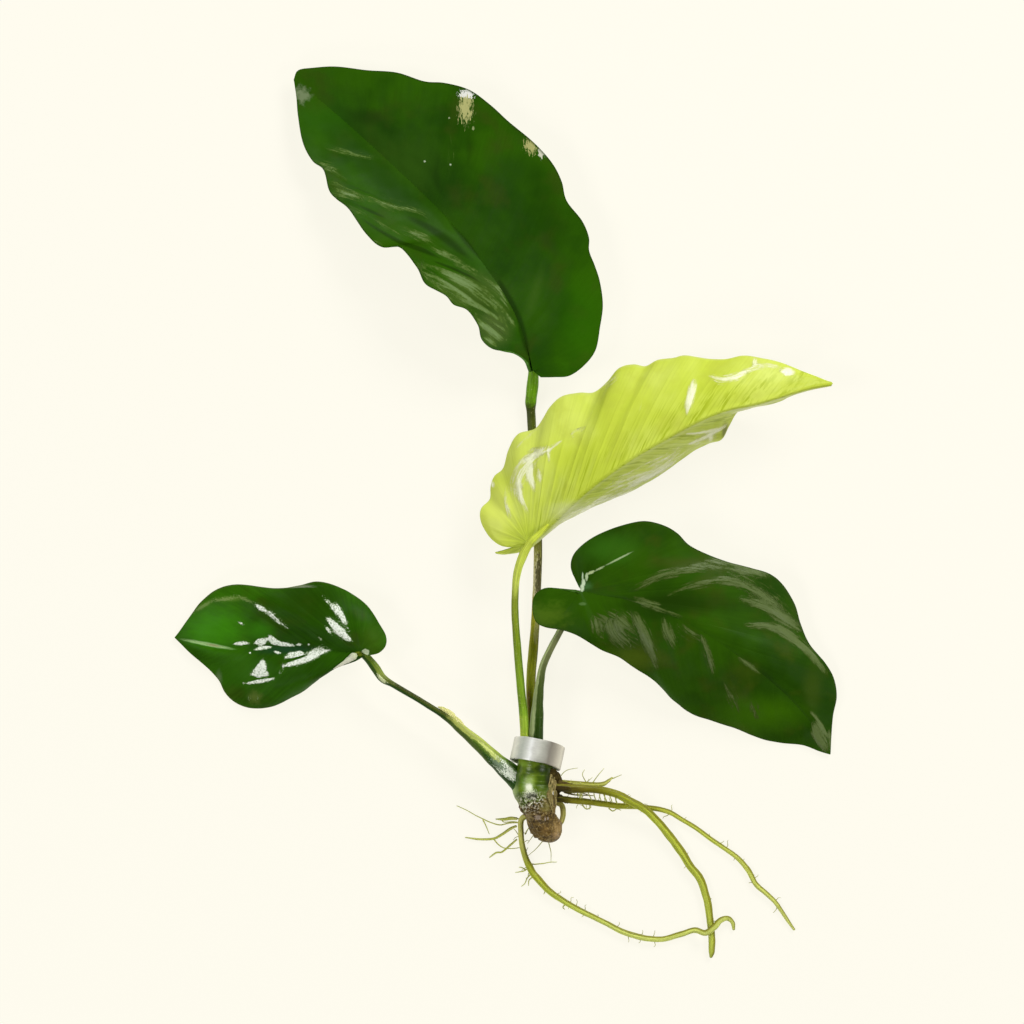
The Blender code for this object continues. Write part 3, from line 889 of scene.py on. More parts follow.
@dataclass
class Vein:
    """One vein of a half: where it starts and ends, and how it bends and rises."""

    root: Vector
    end: Vector
    forward: Vector
    sweep: Vector
    heights: tuple[float, float, float]
    edge_share: float
    phase: float

    @classmethod
    def of(cls, side: Side, edge: SmoothPath, midrib: SmoothPath, leaf: Leaf, row_share: float) -> "Vein":
        """Reads the vein of a row.

        Args:
            side: The half of the leaf.
            edge: The half's edge.
            midrib: The leaf's midrib.
            leaf: The leaf.
            row_share: The row, from 0 at the stalk to 1 at the tip.

        Returns:
            The vein.
        """
        if row_share <= FAN_ROWS:
            root_share, edge_share = 0.0, side.fan_share * row_share / FAN_ROWS
        else:
            root_share = ((row_share - FAN_ROWS) / (1 - FAN_ROWS)) ** ROOT_BUNCHING
            edge_share = side.fan_share + (1 - side.fan_share) * root_share ** (1 / side.vein_lean)
        root, end = midrib.at(root_share), edge.at(edge_share)
        ahead, behind = midrib.at(min(root_share + 0.02, 1.0)), midrib.at(max(root_share - 0.02, 0.0))
        forward = (ahead - behind).normalized()
        bend = VEIN_SWEEP * (1 - edge_share) * min(root_share * 4, 1.0) * 0.5
        heights = (
            smooth_value(leaf.midrib_heights, root_share),
            smooth_value(side.edge_heights, edge_share),
            smooth_value(side.crown, edge_share),
        )
        uneven = 0.3 * noise.noise(Vector((edge_share * side.vein_count * 0.8, leaf.seed, 0.5)))
        phase = edge_share * side.vein_count + uneven
        return cls(root, end, forward, forward * (end - root).length * bend, heights, edge_share, phase)

    def at(self, across: float) -> Vector:
        """Finds a point of the vein.

        Args:
            across: The place on it, from 0 at the midrib to 1 at the edge.

        Returns:
            The point, in millimetres.
        """
        arc = 4 * across * (1 - across)
        flat = self.root.lerp(self.end, across) - self.sweep * arc
        low, high, crown = self.heights
        return Vector((flat.x, flat.y, low * (1 - across) + high * across + crown * arc))

    def off_midrib(self, point: Vector) -> float:
        """Measures how far a point lies from the midrib.

        Args:
            point: The point.

        Returns:
            The distance, in millimetres.
        """
        away = point.xy - self.root
        along = away.dot(self.forward)
        return abs(away.cross(self.forward)) if along > 0 else away.length


@dataclass
class Blade:
    """A leaf blade with both skins, its veins, quilted tissue, midrib and thin edge."""

    leaf: Leaf
    finish: LeafFinish
    rows: int = 300
    columns: int = 56
    column_bunching: float = 1.5  # above 1, the columns lie closer together at the midrib
    tissue: float = 0.55  # thickness between the veins, in millimetres
    edge_thickness: float = 0.22
    rib_height: float = 0.95  # of the midrib below the blade, at the stalk
    rib_half_width: float = 1.25
    groove_depth: float = 0.35
    vein_height: float = 0.3  # of the other veins below the blade
    fine_swell: float = 0.16  # height of the small unevenness
    full_spacing: float = 4.5  # veins this far apart have the full quilting
    hollow_reach: float = 2.5

    def build(self) -> bpy.types.Object:
        """Makes the blade.

        Returns:
            The blade's object.
        """
        bm = bmesh.new()
        bmesh.ops.create_grid(bm, x_segments=self.rows, y_segments=2 * self.columns, size=1.0)
        self._lay_out(bm)
        bmesh.ops.remove_doubles(bm, verts=bm.verts, dist=WELD)
        self._shape(bm)
        return place_piece(self.leaf.name, bm, self.finish, (self.leaf.name,))

    def _lay_out(self, bm: bmesh.types.BMesh) -> None:
        """Lays the flat grid over the leaf's given surface and notes where each point lies on it.

        Args:
            bm: The grid.
        """
        leaf = self.leaf
        midrib = SmoothPath(leaf.midrib)
        vein_layer = bm.verts.layers.float_vector.new("vein")
        blade_layer = bm.verts.layers.float_vector.new("blade")
        quilt_layer = bm.verts.layers.float.new("quilt")
        veins = {}
        for side in (leaf.left, leaf.right):
            edge = SmoothPath(side.edge)
            for row in range(self.rows + 1):
                veins[side, row] = Vein.of(side, edge, midrib, leaf, row / self.rows)
        for vert in bm.verts:
            row = round((vert.co.x + 1) / 2 * self.rows)
            side = leaf.left if vert.co.y > 0 else leaf.right
            across = (round(abs(vert.co.y) * self.columns) / self.columns) ** self.column_bunching
            vein = veins[side, row]
            before, after = veins[side, max(row - 1, 0)], veins[side, min(row + 1, self.rows)]
            point = vein.at(across)
            step = after.at(across).xy - before.at(across).xy
            course = (vein.end - vein.root).normalized()
            turns = max(after.phase - before.phase, 1e-4)
            spacing = min(abs(step.cross(course)) / turns, 20.0)
            vert[vein_layer] = (vein.phase, across, spacing)
            vert[blade_layer] = (vein.edge_share, vein.off_midrib(point), 0.0)
            vert[quilt_layer] = side.quilt
            vert.co = point * MM

    def _shape(self, bm: bmesh.types.BMesh) -> None:
        """Raises the relief of the upper skin, and gives the blade its lower skin and edge.

        Args:
            bm: The laid out grid.
        """
        leaf = self.leaf
        vein_layer = bm.verts.layers.float_vector["vein"]
        blade_layer = bm.verts.layers.float_vector["blade"]
        quilt_layer = bm.verts.layers.float["quilt"]
        way_layer = bm.verts.layers.float_vector.new("way")
        # the streaks' painted highlight (above 0) and painted shade (below 0)
        glint_and_shade_layer = bm.verts.layers.float.new("glint_and_shade")
        flow_layer = bm.verts.layers.float_vector.new("flow")
        lift_layer = bm.verts.layers.float.new("lift")
        drop_layer = bm.verts.layers.float.new("drop")
        bm.normal_update()
        points = np.array([vert.co for vert in bm.verts]) / MM
        creased, glint_and_shade_values, flow = self._streaked(points)
        for index, vert in enumerate(bm.verts):
            phase, across, spacing = vert[vein_layer]
            edge_share, rib, _ = vert[blade_layer]
            room = min(spacing / self.full_spacing, 1.0) * ease(rib, 0.5, 4.0) * (1 - ease(across, 0.4, 1.0))
            pillow = abs(math.sin(math.pi * phase)) ** 0.7
            point = Vector(points[index])
            free = ease(rib, 0.0, 12.0) * (1 - 0.5 * ease(across, 0.9, 1.0))
            wave = leaf.waviness * free * swell(point, 15.0, leaf.seed)
            fine = self.fine_swell * ease(rib, 0.3, 3.0) * swell(point, 4.0, leaf.seed + 5)
            quilt = vert[quilt_layer] * room * (pillow - 0.6)
            taper = 1 - 0.65 * edge_share
            groove = self.groove_depth * taper**3 * math.exp(-((rib / 0.9) ** 2))
            reach = rib / self.hollow_reach
            hollow = leaf.hollow * (math.sqrt(reach * reach + 1) - reach) * ease(edge_share, 0.0, 0.2) * taper
            rib_reach = self.rib_half_width * (0.4 + 0.6 * taper)
            ridge = self.rib_height * taper * math.exp(-((rib / rib_reach) ** 2))
            vein_ridge = self.vein_height * room * (1 - pillow) ** 2
            thin = ease(across, 0.8, 1.0)
            body = self.tissue * (1 - thin) + self.edge_thickness * thin
            crease = creased[index] * (1 - ease(across, 0.93, 1.0)) * leaf.facing.value
            shared = wave + fine + hollow + crease
            vert[way_layer] = vert.normal * leaf.facing.value
            vert[lift_layer] = shared + quilt - groove
            vert[drop_layer] = body - shared - quilt * 0.8 + vein_ridge + ridge * (1 - thin)
            vert[glint_and_shade_layer] = glint_and_shade_values[index]
            vert[flow_layer] = flow[index]
        kept = set(bm.verts)
        bmesh.ops.extrude_face_region(bm, geom=bm.faces[:])
        for vert in bm.verts:
            above = vert in kept
            offset = vert[lift_layer] if above else -vert[drop_layer]
            edge_share, rib, _ = vert[blade_layer]
            shown = above == (leaf.facing is Skin.UPPER)
            vert[blade_layer] = (edge_share, rib, 1.0 if shown else 0.0)
            vert.co += vert[way_layer] * offset * MM
            vert.co.z = max(vert.co.z, FLOOR_CLEARANCE * MM)
        bmesh.ops.recalc_face_normals(bm, faces=bm.faces)
        bm.verts.layers.float_vector.remove(way_layer)
        for name in ("quilt", "lift", "drop"):
            bm.verts.layers.float.remove(bm.verts.layers.float[name])

    def _streaked(self, points: np.ndarray) -> tuple[np.ndarray, np.ndarray, np.ndarray]:
        """Adds up the streaks at every point.

        Args:
            points: The points, in millimetres.

        Returns:
            How far each point is raised, in millimetres, how it shines, and its place in the strongest streak
            there: off the line and along it, in millimetres, and the streak's own offset.
        """
        raised, glint_and_shade_values = np.zeros(len(points)), np.zeros(len(points))
        strongest, flow = np.full(len(points), 0.02), np.zeros((len(points), 3))
        for number, streak in enumerate(self.leaf.streaks):
            path = SmoothPath(streak.line)
            stops = np.array([path.at(step / STREAK_PIECES) for step in range(STREAK_PIECES + 1)])
            nearest = np.full(len(points), math.inf)
            off, place = np.zeros(len(points)), np.zeros(len(points))
            for index, (start, end) in enumerate(zip(stops, stops[1:])):
                course = end - start
                away = points[:, :2] - start
                share = np.clip((away @ course) / (course @ course), 0, 1)
                gap = away - share[:, None] * course
                distance = np.hypot(gap[:, 0], gap[:, 1])
                closer = distance < nearest
                nearest = np.where(closer, distance, nearest)
                off = np.where(closer, distance * np.sign(course[0] * gap[:, 1] - course[1] * gap[:, 0]), off)
                place = np.where(closer, (index + share) / STREAK_PIECES, place)
            body = np.sqrt(np.clip(np.sin(np.pi * (0.06 + 0.88 * place)), 0, 1))
            mark = np.exp(-((nearest / (streak.width * (0.35 + 0.65 * body))) ** 2)) * body
            raised += streak.height * mark
            # painted highlight above 0 and painted shade below 0, summed over the streaks
            glint_and_shade_values += streak.glint_and_shade * mark
            leads = mark * abs(streak.glint_and_shade) > strongest
            strongest = np.where(leads, mark * abs(streak.glint_and_shade), strongest)
            offset = np.full(len(points), STREAK_OFFSET * number)
            own = np.stack((off, place * path.length, offset), axis=1)
            flow = np.where(leads[:, None], own, flow)
        return raised, glint_and_shade_values, flow


def place_piece(
    name: str, bm: bmesh.types.BMesh, finish: Finish, nodes: tuple[str, ...], sharp: float = 60.0
) -> bpy.types.Object:
    """Makes a finished piece of a mesh: it rides on the plant, and stands for its CAD nodes.

    Args:
        name: What the piece is.
        bm: Its mesh, with its place in it, which is freed.
        finish: What gives the material.
        nodes: The CAD nodes that the piece replaces.
        sharp: Edges that bend more than this many degrees stay sharp.

    Returns:
        The piece's object.
    """
    mesh = bpy.data.meshes.new(name + "_skin")
    bm.to_mesh(mesh)
    bm.free()
    mesh.materials.append(finish.material())
    mesh.shade_smooth()
    mesh.set_sharp_from_angle(angle=math.radians(sharp))
    piece = bpy.data.objects.new(name + "_skin", mesh)
    bpy.context.scene.collection.objects.link(piece)
    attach(piece, BODY)
    if nodes:
        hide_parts(*nodes)
    LOG.info("%s: %d faces", piece.name, len(mesh.polygons))
    return piece


# ---------------------------------------------------------------- round members

Ring = tuple[float, Vector, Vector, Vector, float]


@dataclass(frozen=True)
class Member:
    """A tapering round piece along a smooth path of x, y, z and radius, closed and rounded at both ends."""

    name: str
    path: Points
    rings: int = 120
    segments: int = 24
    lumps: float = 0.05  # swellings, as a share of the radius
    lump_size: float = 6.0  # millimetres
    wander: float = 0.15  # how far the centre line strays, in millimetres
    flatness: float = 0.0  # how much lower than wide it is, as a share
    channel: float = 0.0  # depth of the channel along its top, as a share of the radius
    seed: float = 0.0

    def add_to(self, bm: bmesh.types.BMesh) -> None:
        """Adds the member to a mesh.

        Args:
            bm: The mesh that it goes into.
        """
        line = SmoothPath([point[:3] for point in self.path])
        stops = [0.0]
        for before, after in zip(self.path, self.path[1:]):
            stops.append(stops[-1] + (Vector(after[:3]) - Vector(before[:3])).length)
        along_layer = get_layer(bm, "along")
        run_layer = get_layer(bm, "run")
        made = bmesh.ops.create_uvsphere(bm, u_segments=self.segments, v_segments=self.rings, radius=1.0)
        centres = [self._ring(line, stops, ring) for ring in range(self.rings + 1)]
        for vert in made["verts"]:
            ring = round(math.acos(max(-1.0, min(1.0, vert.co.z))) / math.pi * self.rings)
            angle = math.atan2(vert.co.y, vert.co.x) if 0 < ring < self.rings else 0.0
            share, centre, side, up, radius = centres[ring]
            reach = radius * self._surface(share, angle, centre) if radius else 0.0
            out = side * math.cos(angle) + up * math.sin(angle) * (1 - self.flatness)
            point = centre + out * reach
            point.z = max(point.z, FLOOR_CLEARANCE)
            vert[along_layer] = (share, math.cos(angle), math.sin(angle))
            vert[run_layer] = (share * line.length, radius, 0.0)
            vert.co = point * MM

    def _ring(self, line: SmoothPath, stops: list[float], ring: int) -> Ring:
        """Places one ring.

        Args:
            line: The centre line.
            stops: How far along the path each of its points lies.
            ring: The ring's number.

        Returns:
            Its share of the length, centre, side and up directions, and radius.
        """
        even = ring / self.rings
        share = 0.65 * even + 0.35 * (0.5 - 0.5 * math.cos(math.pi * even))
        centre, heading = line.at(share), line.heading(share)
        side = heading.cross(Vector((0, 0, 1))).normalized()
        up = side.cross(heading).normalized()
        strays = [swell(centre, 9.0, self.seed + offset) for offset in (1, 2)]
        stray = Vector((*strays, 0)) * self.wander
        radius = radius_at(stops, self.path, share)
        from_end = min(share, 1 - share) * line.length
        bulge = 1 - min(from_end / max(radius, 0.05), 1.0)
        return share, centre + stray, side, up, radius * math.sqrt(max(1 - bulge * bulge, 0.0))

    def _surface(self, share: float, angle: float, centre: Vector) -> float:
        """Reads the radius at a place of the surface.

        Args:
            share: The share of the length, which matters to the crown alone.
            angle: The angle round the ring, in radians.
            centre: The middle of the ring.

        Returns:
            The radius, as a share of the ring's.
        """
        place = centre + Vector((math.cos(angle), math.sin(angle), 0)) * self.lump_size * 0.5
        rise = 1 + self.lumps * swell(place, self.lump_size, self.seed)
        rise += self.lumps * 0.4 * swell(place, self.lump_size * 0.3, self.seed + 3)
        return rise - self.channel * math.exp(-(((angle - math.pi / 2) / 0.35) ** 2))


def get_layer(bm: bmesh.types.BMesh, name: str) -> bmesh.types.BMLayerItem:
    """The mesh's vector layer of that name, made on first use."""
    layers = bm.verts.layers.float_vector
    return layers.get(name) or layers.new(name)


def radius_at(stops: list[float], path: Points, share: float) -> float:
    """Reads the radius at a share of the path, in a smooth blend between the path's points.

    Args:
        stops: How far along the path each of its points lies.
        path: The path, with each point's radius last.
        share: The share of the length.

    Returns:
        The radius, in millimetres.
    """
    wanted = min(max(share, 0.0), 1.0) * stops[-1]
    index = max(1, min(bisect_left(stops, wanted), len(stops) - 1))
    part = (wanted - stops[index - 1]) / (stops[index] - stops[index - 1])
    part = part * part * (3 - 2 * part)
    return path[index - 1][3] * (1 - part) + path[index][3] * part


@dataclass
class Bundle:
    """One or more members that are one piece of one finish."""

    name: str
    members: tuple[Member, ...]
    finish: Finish
    replaces: tuple[str, ...] = ()

    def build(self) -> bpy.types.Object:
        """Makes the piece.

        Returns:
            Its object.
        """
        bm = bmesh.new()
        for member in self.members:
            member.add_to(bm)
        bmesh.ops.recalc_face_normals(bm, faces=bm.faces)
        return place_piece(self.name, bm, self.finish, self.replaces)


@dataclass(frozen=True)
class Crown(Member):
    """The creeping stem: smooth with fine leaf scars in its green half, knobbly at its old end."""

    ring_pitch: float = 1.15
    scarred_length: float = 34.0  # millimetres
    old_from: float = 0.52  # share of the length
    waists: float = 5.5  # narrower places along the whole length
    knobs: Points = ((0.15, 3.4, 3.0), (0.15, 1.7, 4.0), (0.05, 0.8, 5.0))  # share of the radius, size, seed
    mean_radius: float = 6.0

    def _surface(self, share: float, angle: float, centre: Vector) -> float:
        """Reads the radius, with scars and knobs.

        Args:
            share: The share of the length.
            angle: The angle round the ring, in radians.
            centre: The middle of the ring.

        Returns:
            The radius, as a share of the ring's.
        """
        place = centre + Vector((math.cos(angle), 0, math.sin(angle))) * self.mean_radius
        old = ease(share, self.old_from - 0.08, self.old_from + 0.1)
        turns = math.pi * share * self.scarred_length / self.ring_pitch
        scar = abs(math.sin(turns + 0.8 * swell(place, 5.0, 2.0)))
        rise = 1 + 0.03 * swell(place, 6.0, 1.0) - 0.012 * (1 - old) * (1 - scar) ** 3
        rise += old * sum(height * swell(place, size, seed) for height, size, seed in self.knobs)
        return rise - old * 0.07 * max(0.0, math.cos(2 * math.pi * share * self.waists)) ** 3


# ---------------------------------------------------------------- weight band

DENT_RADIUS = 8  # of the circle that the dents are read on, in millimetres


@dataclass
class WeightBand:
    """The soft metal strip bent round the crown, with a lap where its ends meet, dents and uneven edges."""

    finish: BandFinish = BandFinish("band_metal_skin", Slot.BAND)
    outer_radius: float = BAND_RADIUS
    width: float = 7.6
    wall: float = 0.8
    centre: tuple[float, float, float] = (10.35, -79.6, 8.95)
    turn: float = math.radians(-12.5)
    lean: float = math.radians(-9)
    steps: int = 144
    lap_angle: float = math.radians(205)  # where the strip's end lies over its start
    lap_height: float = 0.45

    def build(self) -> bpy.types.Object:
        """Makes the band.

        Returns:
            Its object.
        """
        bm = bmesh.new()
        made = bmesh.ops.create_grid(bm, x_segments=1, y_segments=1, size=0.5)
        bmesh.ops.scale(bm, vec=(self.wall * MM, self.width * MM, 1.0), verts=made["verts"])
        bmesh.ops.bevel(
            bm, geom=bm.edges[:] + bm.verts[:], offset=self.wall * 0.3 * MM, segments=3, profile=0.5,
            affect="VERTICES", material=-1,
        )
        bmesh.ops.delete(bm, geom=bm.faces[:], context="FACES_ONLY")
        long_edges = [edge for edge in bm.edges if edge.calc_length() > 2 * MM]
        bmesh.ops.subdivide_edges(bm, edges=long_edges, cuts=10)
        bmesh.ops.translate(bm, vec=((self.outer_radius - self.wall / 2) * MM, 0, 0), verts=bm.verts)
        bmesh.ops.spin(
            bm, geom=bm.verts[:] + bm.edges[:], cent=(0, 0, 0), axis=(0, 1, 0), angle=2 * math.pi,
            steps=self.steps, use_merge=True,
        )
        bmesh.ops.remove_doubles(bm, verts=bm.verts, dist=WELD)
        self._bend(bm)
        bmesh.ops.recalc_face_normals(bm, faces=bm.faces)
        return place_piece("weight_band", bm, self.finish, ("weight_band",), sharp=50.0)

    def _bend(self, bm: bmesh.types.BMesh) -> None:
        """Gives the turned ring its lap, dents and wavy edges, and puts it in its place.

        Args:
            bm: The ring.
        """
        strip = get_layer(bm, "strip")
        cos_turn, sin_turn = math.cos(self.turn), math.sin(self.turn)
        cos_lean, sin_lean = math.cos(self.lean), math.sin(self.lean)
        for vert in bm.verts:
            radius = math.hypot(vert.co.x, vert.co.z) / MM
            angle = math.atan2(vert.co.z, vert.co.x) % (2 * math.pi)
            along = vert.co.y / MM
            past_lap = (angle - self.lap_angle) % (2 * math.pi)
            place = Vector((math.cos(angle) * DENT_RADIUS, along, math.sin(angle) * DENT_RADIUS))
            lift = self.lap_height * (1 - ease(past_lap, 0.06, 0.5))
            grown = radius + lift * 0.6 + 0.1 * swell(place, 6.0, 3.0)
            edge = along * (1 + 0.03 * swell(place, 4.0, 9.0)) + 0.12 * swell(place, 6.0, 11.0)
            vert[strip] = (angle * self.outer_radius, along, 0.0)
            x, y, z = grown * math.cos(angle), edge, grown * math.sin(angle)
            y, z = y * cos_lean - z * sin_lean, y * sin_lean + z * cos_lean
            x, y = x * cos_turn - y * sin_turn, x * sin_turn + y * cos_turn
            point = Vector(self.centre) + Vector((x, y, z))
            point.z = max(point.z, FLOOR_CLEARANCE)
            vert.co = point * MM


# ---------------------------------------------------------------- fine roots, sheaths and shreds

HAIR_SEED, RUNG_SEED, FIBRE_SEED = 11, 3, 5
LOWEST_HAIR = 0.2  # millimetres above the floor


def threads(lines: tuple[Points, ...], radius: float, tip: float = 0.3) -> tuple[Member, ...]:
    """Makes fine members of one thickness along lines.

    Args:
        lines: The points of each line, in three dimensions.
        radius: The radius at each line's start, in millimetres.
        tip: The radius at its end, as a share of that.

    Returns:
        The members.
    """
    made = []
    for index, line in enumerate(lines):
        last = len(line) - 1
        path = tuple((*point, radius * (1 - (1 - tip) * step / last)) for step, point in enumerate(line))
        rings = 8 * len(line)
        made.append(Member("thread", path, rings, 6, lumps=0.12, lump_size=2.0, wander=0.1, seed=index))
    return tuple(made)


@dataclass
class RootHairs:
    """Short hairs that stand out from the roots, thickest near the crown, from a seeded draw."""

    paths: dict[str, Points]
    counts: dict[str, int]
    longest: float = 3.2
    radius: float = 0.17

    def members(self) -> tuple[Member, ...]:
        """Draws the hairs.

        Returns:
            Their members.
        """
        draw = random.Random(HAIR_SEED)
        lines = []
        for name, count in self.counts.items():
            path = self.paths[name]
            line = SmoothPath([point[:3] for point in path])
            for _ in range(count):
                share = 0.08 + 0.82 * draw.random() ** 1.5
                start = line.at(share)
                heading = line.heading(share)
                side = heading.cross(Vector((0, 0, 1))).normalized() * draw.choice((-1, 1))
                course = side + heading * draw.uniform(-0.5, 0.8) + Vector((0, 0, draw.uniform(-0.2, 0.35)))
                course = course.normalized()
                length = self.longest * draw.uniform(0.35, 1.0)
                bend = heading * draw.uniform(-0.3, 0.3) * length
                curl = side.cross(course) * draw.uniform(-0.25, 0.25) + heading * draw.uniform(-0.35, 0.35)
                first = start + (course + curl) * length * 0.4
                second = start + (course - curl * 0.6) * length * 0.75 + bend * 0.4
                end = start + course * length + bend
                lines.append(tuple((p.x, p.y, max(p.z, LOWEST_HAIR)) for p in (start, first, second, end)))
        return threads(tuple(lines), self.radius, 0.45)

    def rungs(self, upper: str, lower: str, count: int) -> tuple[Member, ...]:
        """Draws short curled roots between two neighbouring roots, like the rungs of a ladder.

        Args:
            upper: The root that they start from.
            lower: The root that they reach.
            count: How many there are.

        Returns:
            Their members.
        """
        draw = random.Random(RUNG_SEED)
        first, second = (SmoothPath([point[:3] for point in self.paths[name]]) for name in (upper, lower))
        lines = []
        for _ in range(count):
            share = draw.uniform(0.07, 0.3)
            start, end = first.at(share), second.at(share * first.length / second.length)
            end += Vector((draw.uniform(0.6, 2.6), 0, 0))
            middle = start.lerp(end, 0.5) + Vector((draw.uniform(-0.7, 0.3), draw.uniform(-0.4, 0.4), 0))
            lines.append(tuple((p.x, p.y, max(p.z, LOWEST_HAIR)) for p in (start, middle, end)))
        return threads(tuple(lines), self.radius * 1.3, 0.8)


# ---------------------------------------------------------------- studio


@dataclass(frozen=True)
class Softbox:
    """A soft light that faces the plant: where it stands, how large and how bright it is."""

    name: str
    off_axis: float  # degrees from straight above
    bearing: float  # degrees round the plant, from +X towards +Y
    size: tuple[float, float]  # metres, level and upright
    power: float  # watts
    colour: Colour = (1.0, 1.0, 1.0)


@dataclass
class Studio:
    """The pale floor, the soft lights and the camera straight above."""

    floor_colour: Colour = (1.0, 0.973, 0.863)
    floor_glow: float = 0.9
    floor_half_side: float = 12.0
    view_width: float = 0.3379  # metres across the picture
    view_centre: float = 1.98 * MM
    camera_height: float = 5.0
    light_distance: float = 1.8
    ambience: float = 0.03
    lights: tuple[Softbox, ...] = ()

    def build(self) -> None:
        """Makes the floor, lights, surroundings and camera."""
        self._floor()
        for light in self.lights:
            self._light(light)
        self._surroundings()
        self._camera()

    def _floor(self) -> None:
        """Makes the floor: pale card that glows a little, as a lit background does."""
        bm = bmesh.new()
        bmesh.ops.create_grid(bm, x_segments=4, y_segments=4, size=self.floor_half_side)
        mesh = bpy.data.meshes.new("floor")
        bm.to_mesh(mesh)
        bm.free()
        graph = MaterialGraph("floor_card")
        tooth = graph.noise(graph.place(), 900.0, 2.0, 0.5)
        card = graph.finished(
            Base_Color=[value * (1 - self.floor_glow) for value in self.floor_colour],
            Emission_Color=self.floor_colour,
            Emission_Strength=self.floor_glow,
            Specular_IOR_Level=0.0,
            Roughness=graph.smooth(tooth, 0.3, 0.7, 0.85, 0.95),
        )
        mesh.materials.append(card)
        floor = bpy.data.objects.new("floor", mesh)
        bpy.context.scene.collection.objects.link(floor)

    def _light(self, light: Softbox) -> None:
        """Makes a soft light that faces the plant.

        Args:
            light: The light.
        """
        data = bpy.data.lights.new(light.name, "AREA")
        data.shape = "RECTANGLE"
        data.size, data.size_y = light.size
        data.energy = light.power
        data.color = light.colour
        lamp = bpy.data.objects.new(light.name, data)
        off_axis, bearing = math.radians(light.off_axis), math.radians(light.bearing)
        level = math.sin(off_axis)
        facing = Vector((level * math.cos(bearing), level * math.sin(bearing), math.cos(off_axis)))
        lamp.location = facing * self.light_distance
        lamp.rotation_euler = facing.to_track_quat("Z", "Y").to_euler()
        bpy.context.scene.collection.objects.link(lamp)

    def _surroundings(self) -> None:
        """Makes the dim room, which looks like the floor where it is seen directly."""
        world = bpy.data.worlds.new("studio")
        world.use_nodes = True
        graph = Graph(world.node_tree)
        seen = Value(graph, graph.node("ShaderNodeLightPath").outputs["Is Camera Ray"])
        glow = graph.smooth(seen, 0.0, 1.0, self.ambience, 1.0)
        graph.fill(world.node_tree.nodes["Background"], Strength=glow, Color=self.floor_colour)
        bpy.context.scene.world = world

    def _camera(self) -> None:
        """Makes the camera, far above and looking straight down."""
        data = bpy.data.cameras.new("camera")
        data.sensor_width = 36.0
        data.lens = data.sensor_width * self.camera_height / self.view_width
        data.clip_end = 100.0
        camera = bpy.data.objects.new("camera", data)
        camera.location = (self.view_centre, 0.0, self.camera_height)
        bpy.context.scene.collection.objects.link(camera)
        bpy.context.scene.camera = camera
        bpy.context.scene.view_settings.view_transform = "Standard"


# ---------------------------------------------------------------- the plant's shapes

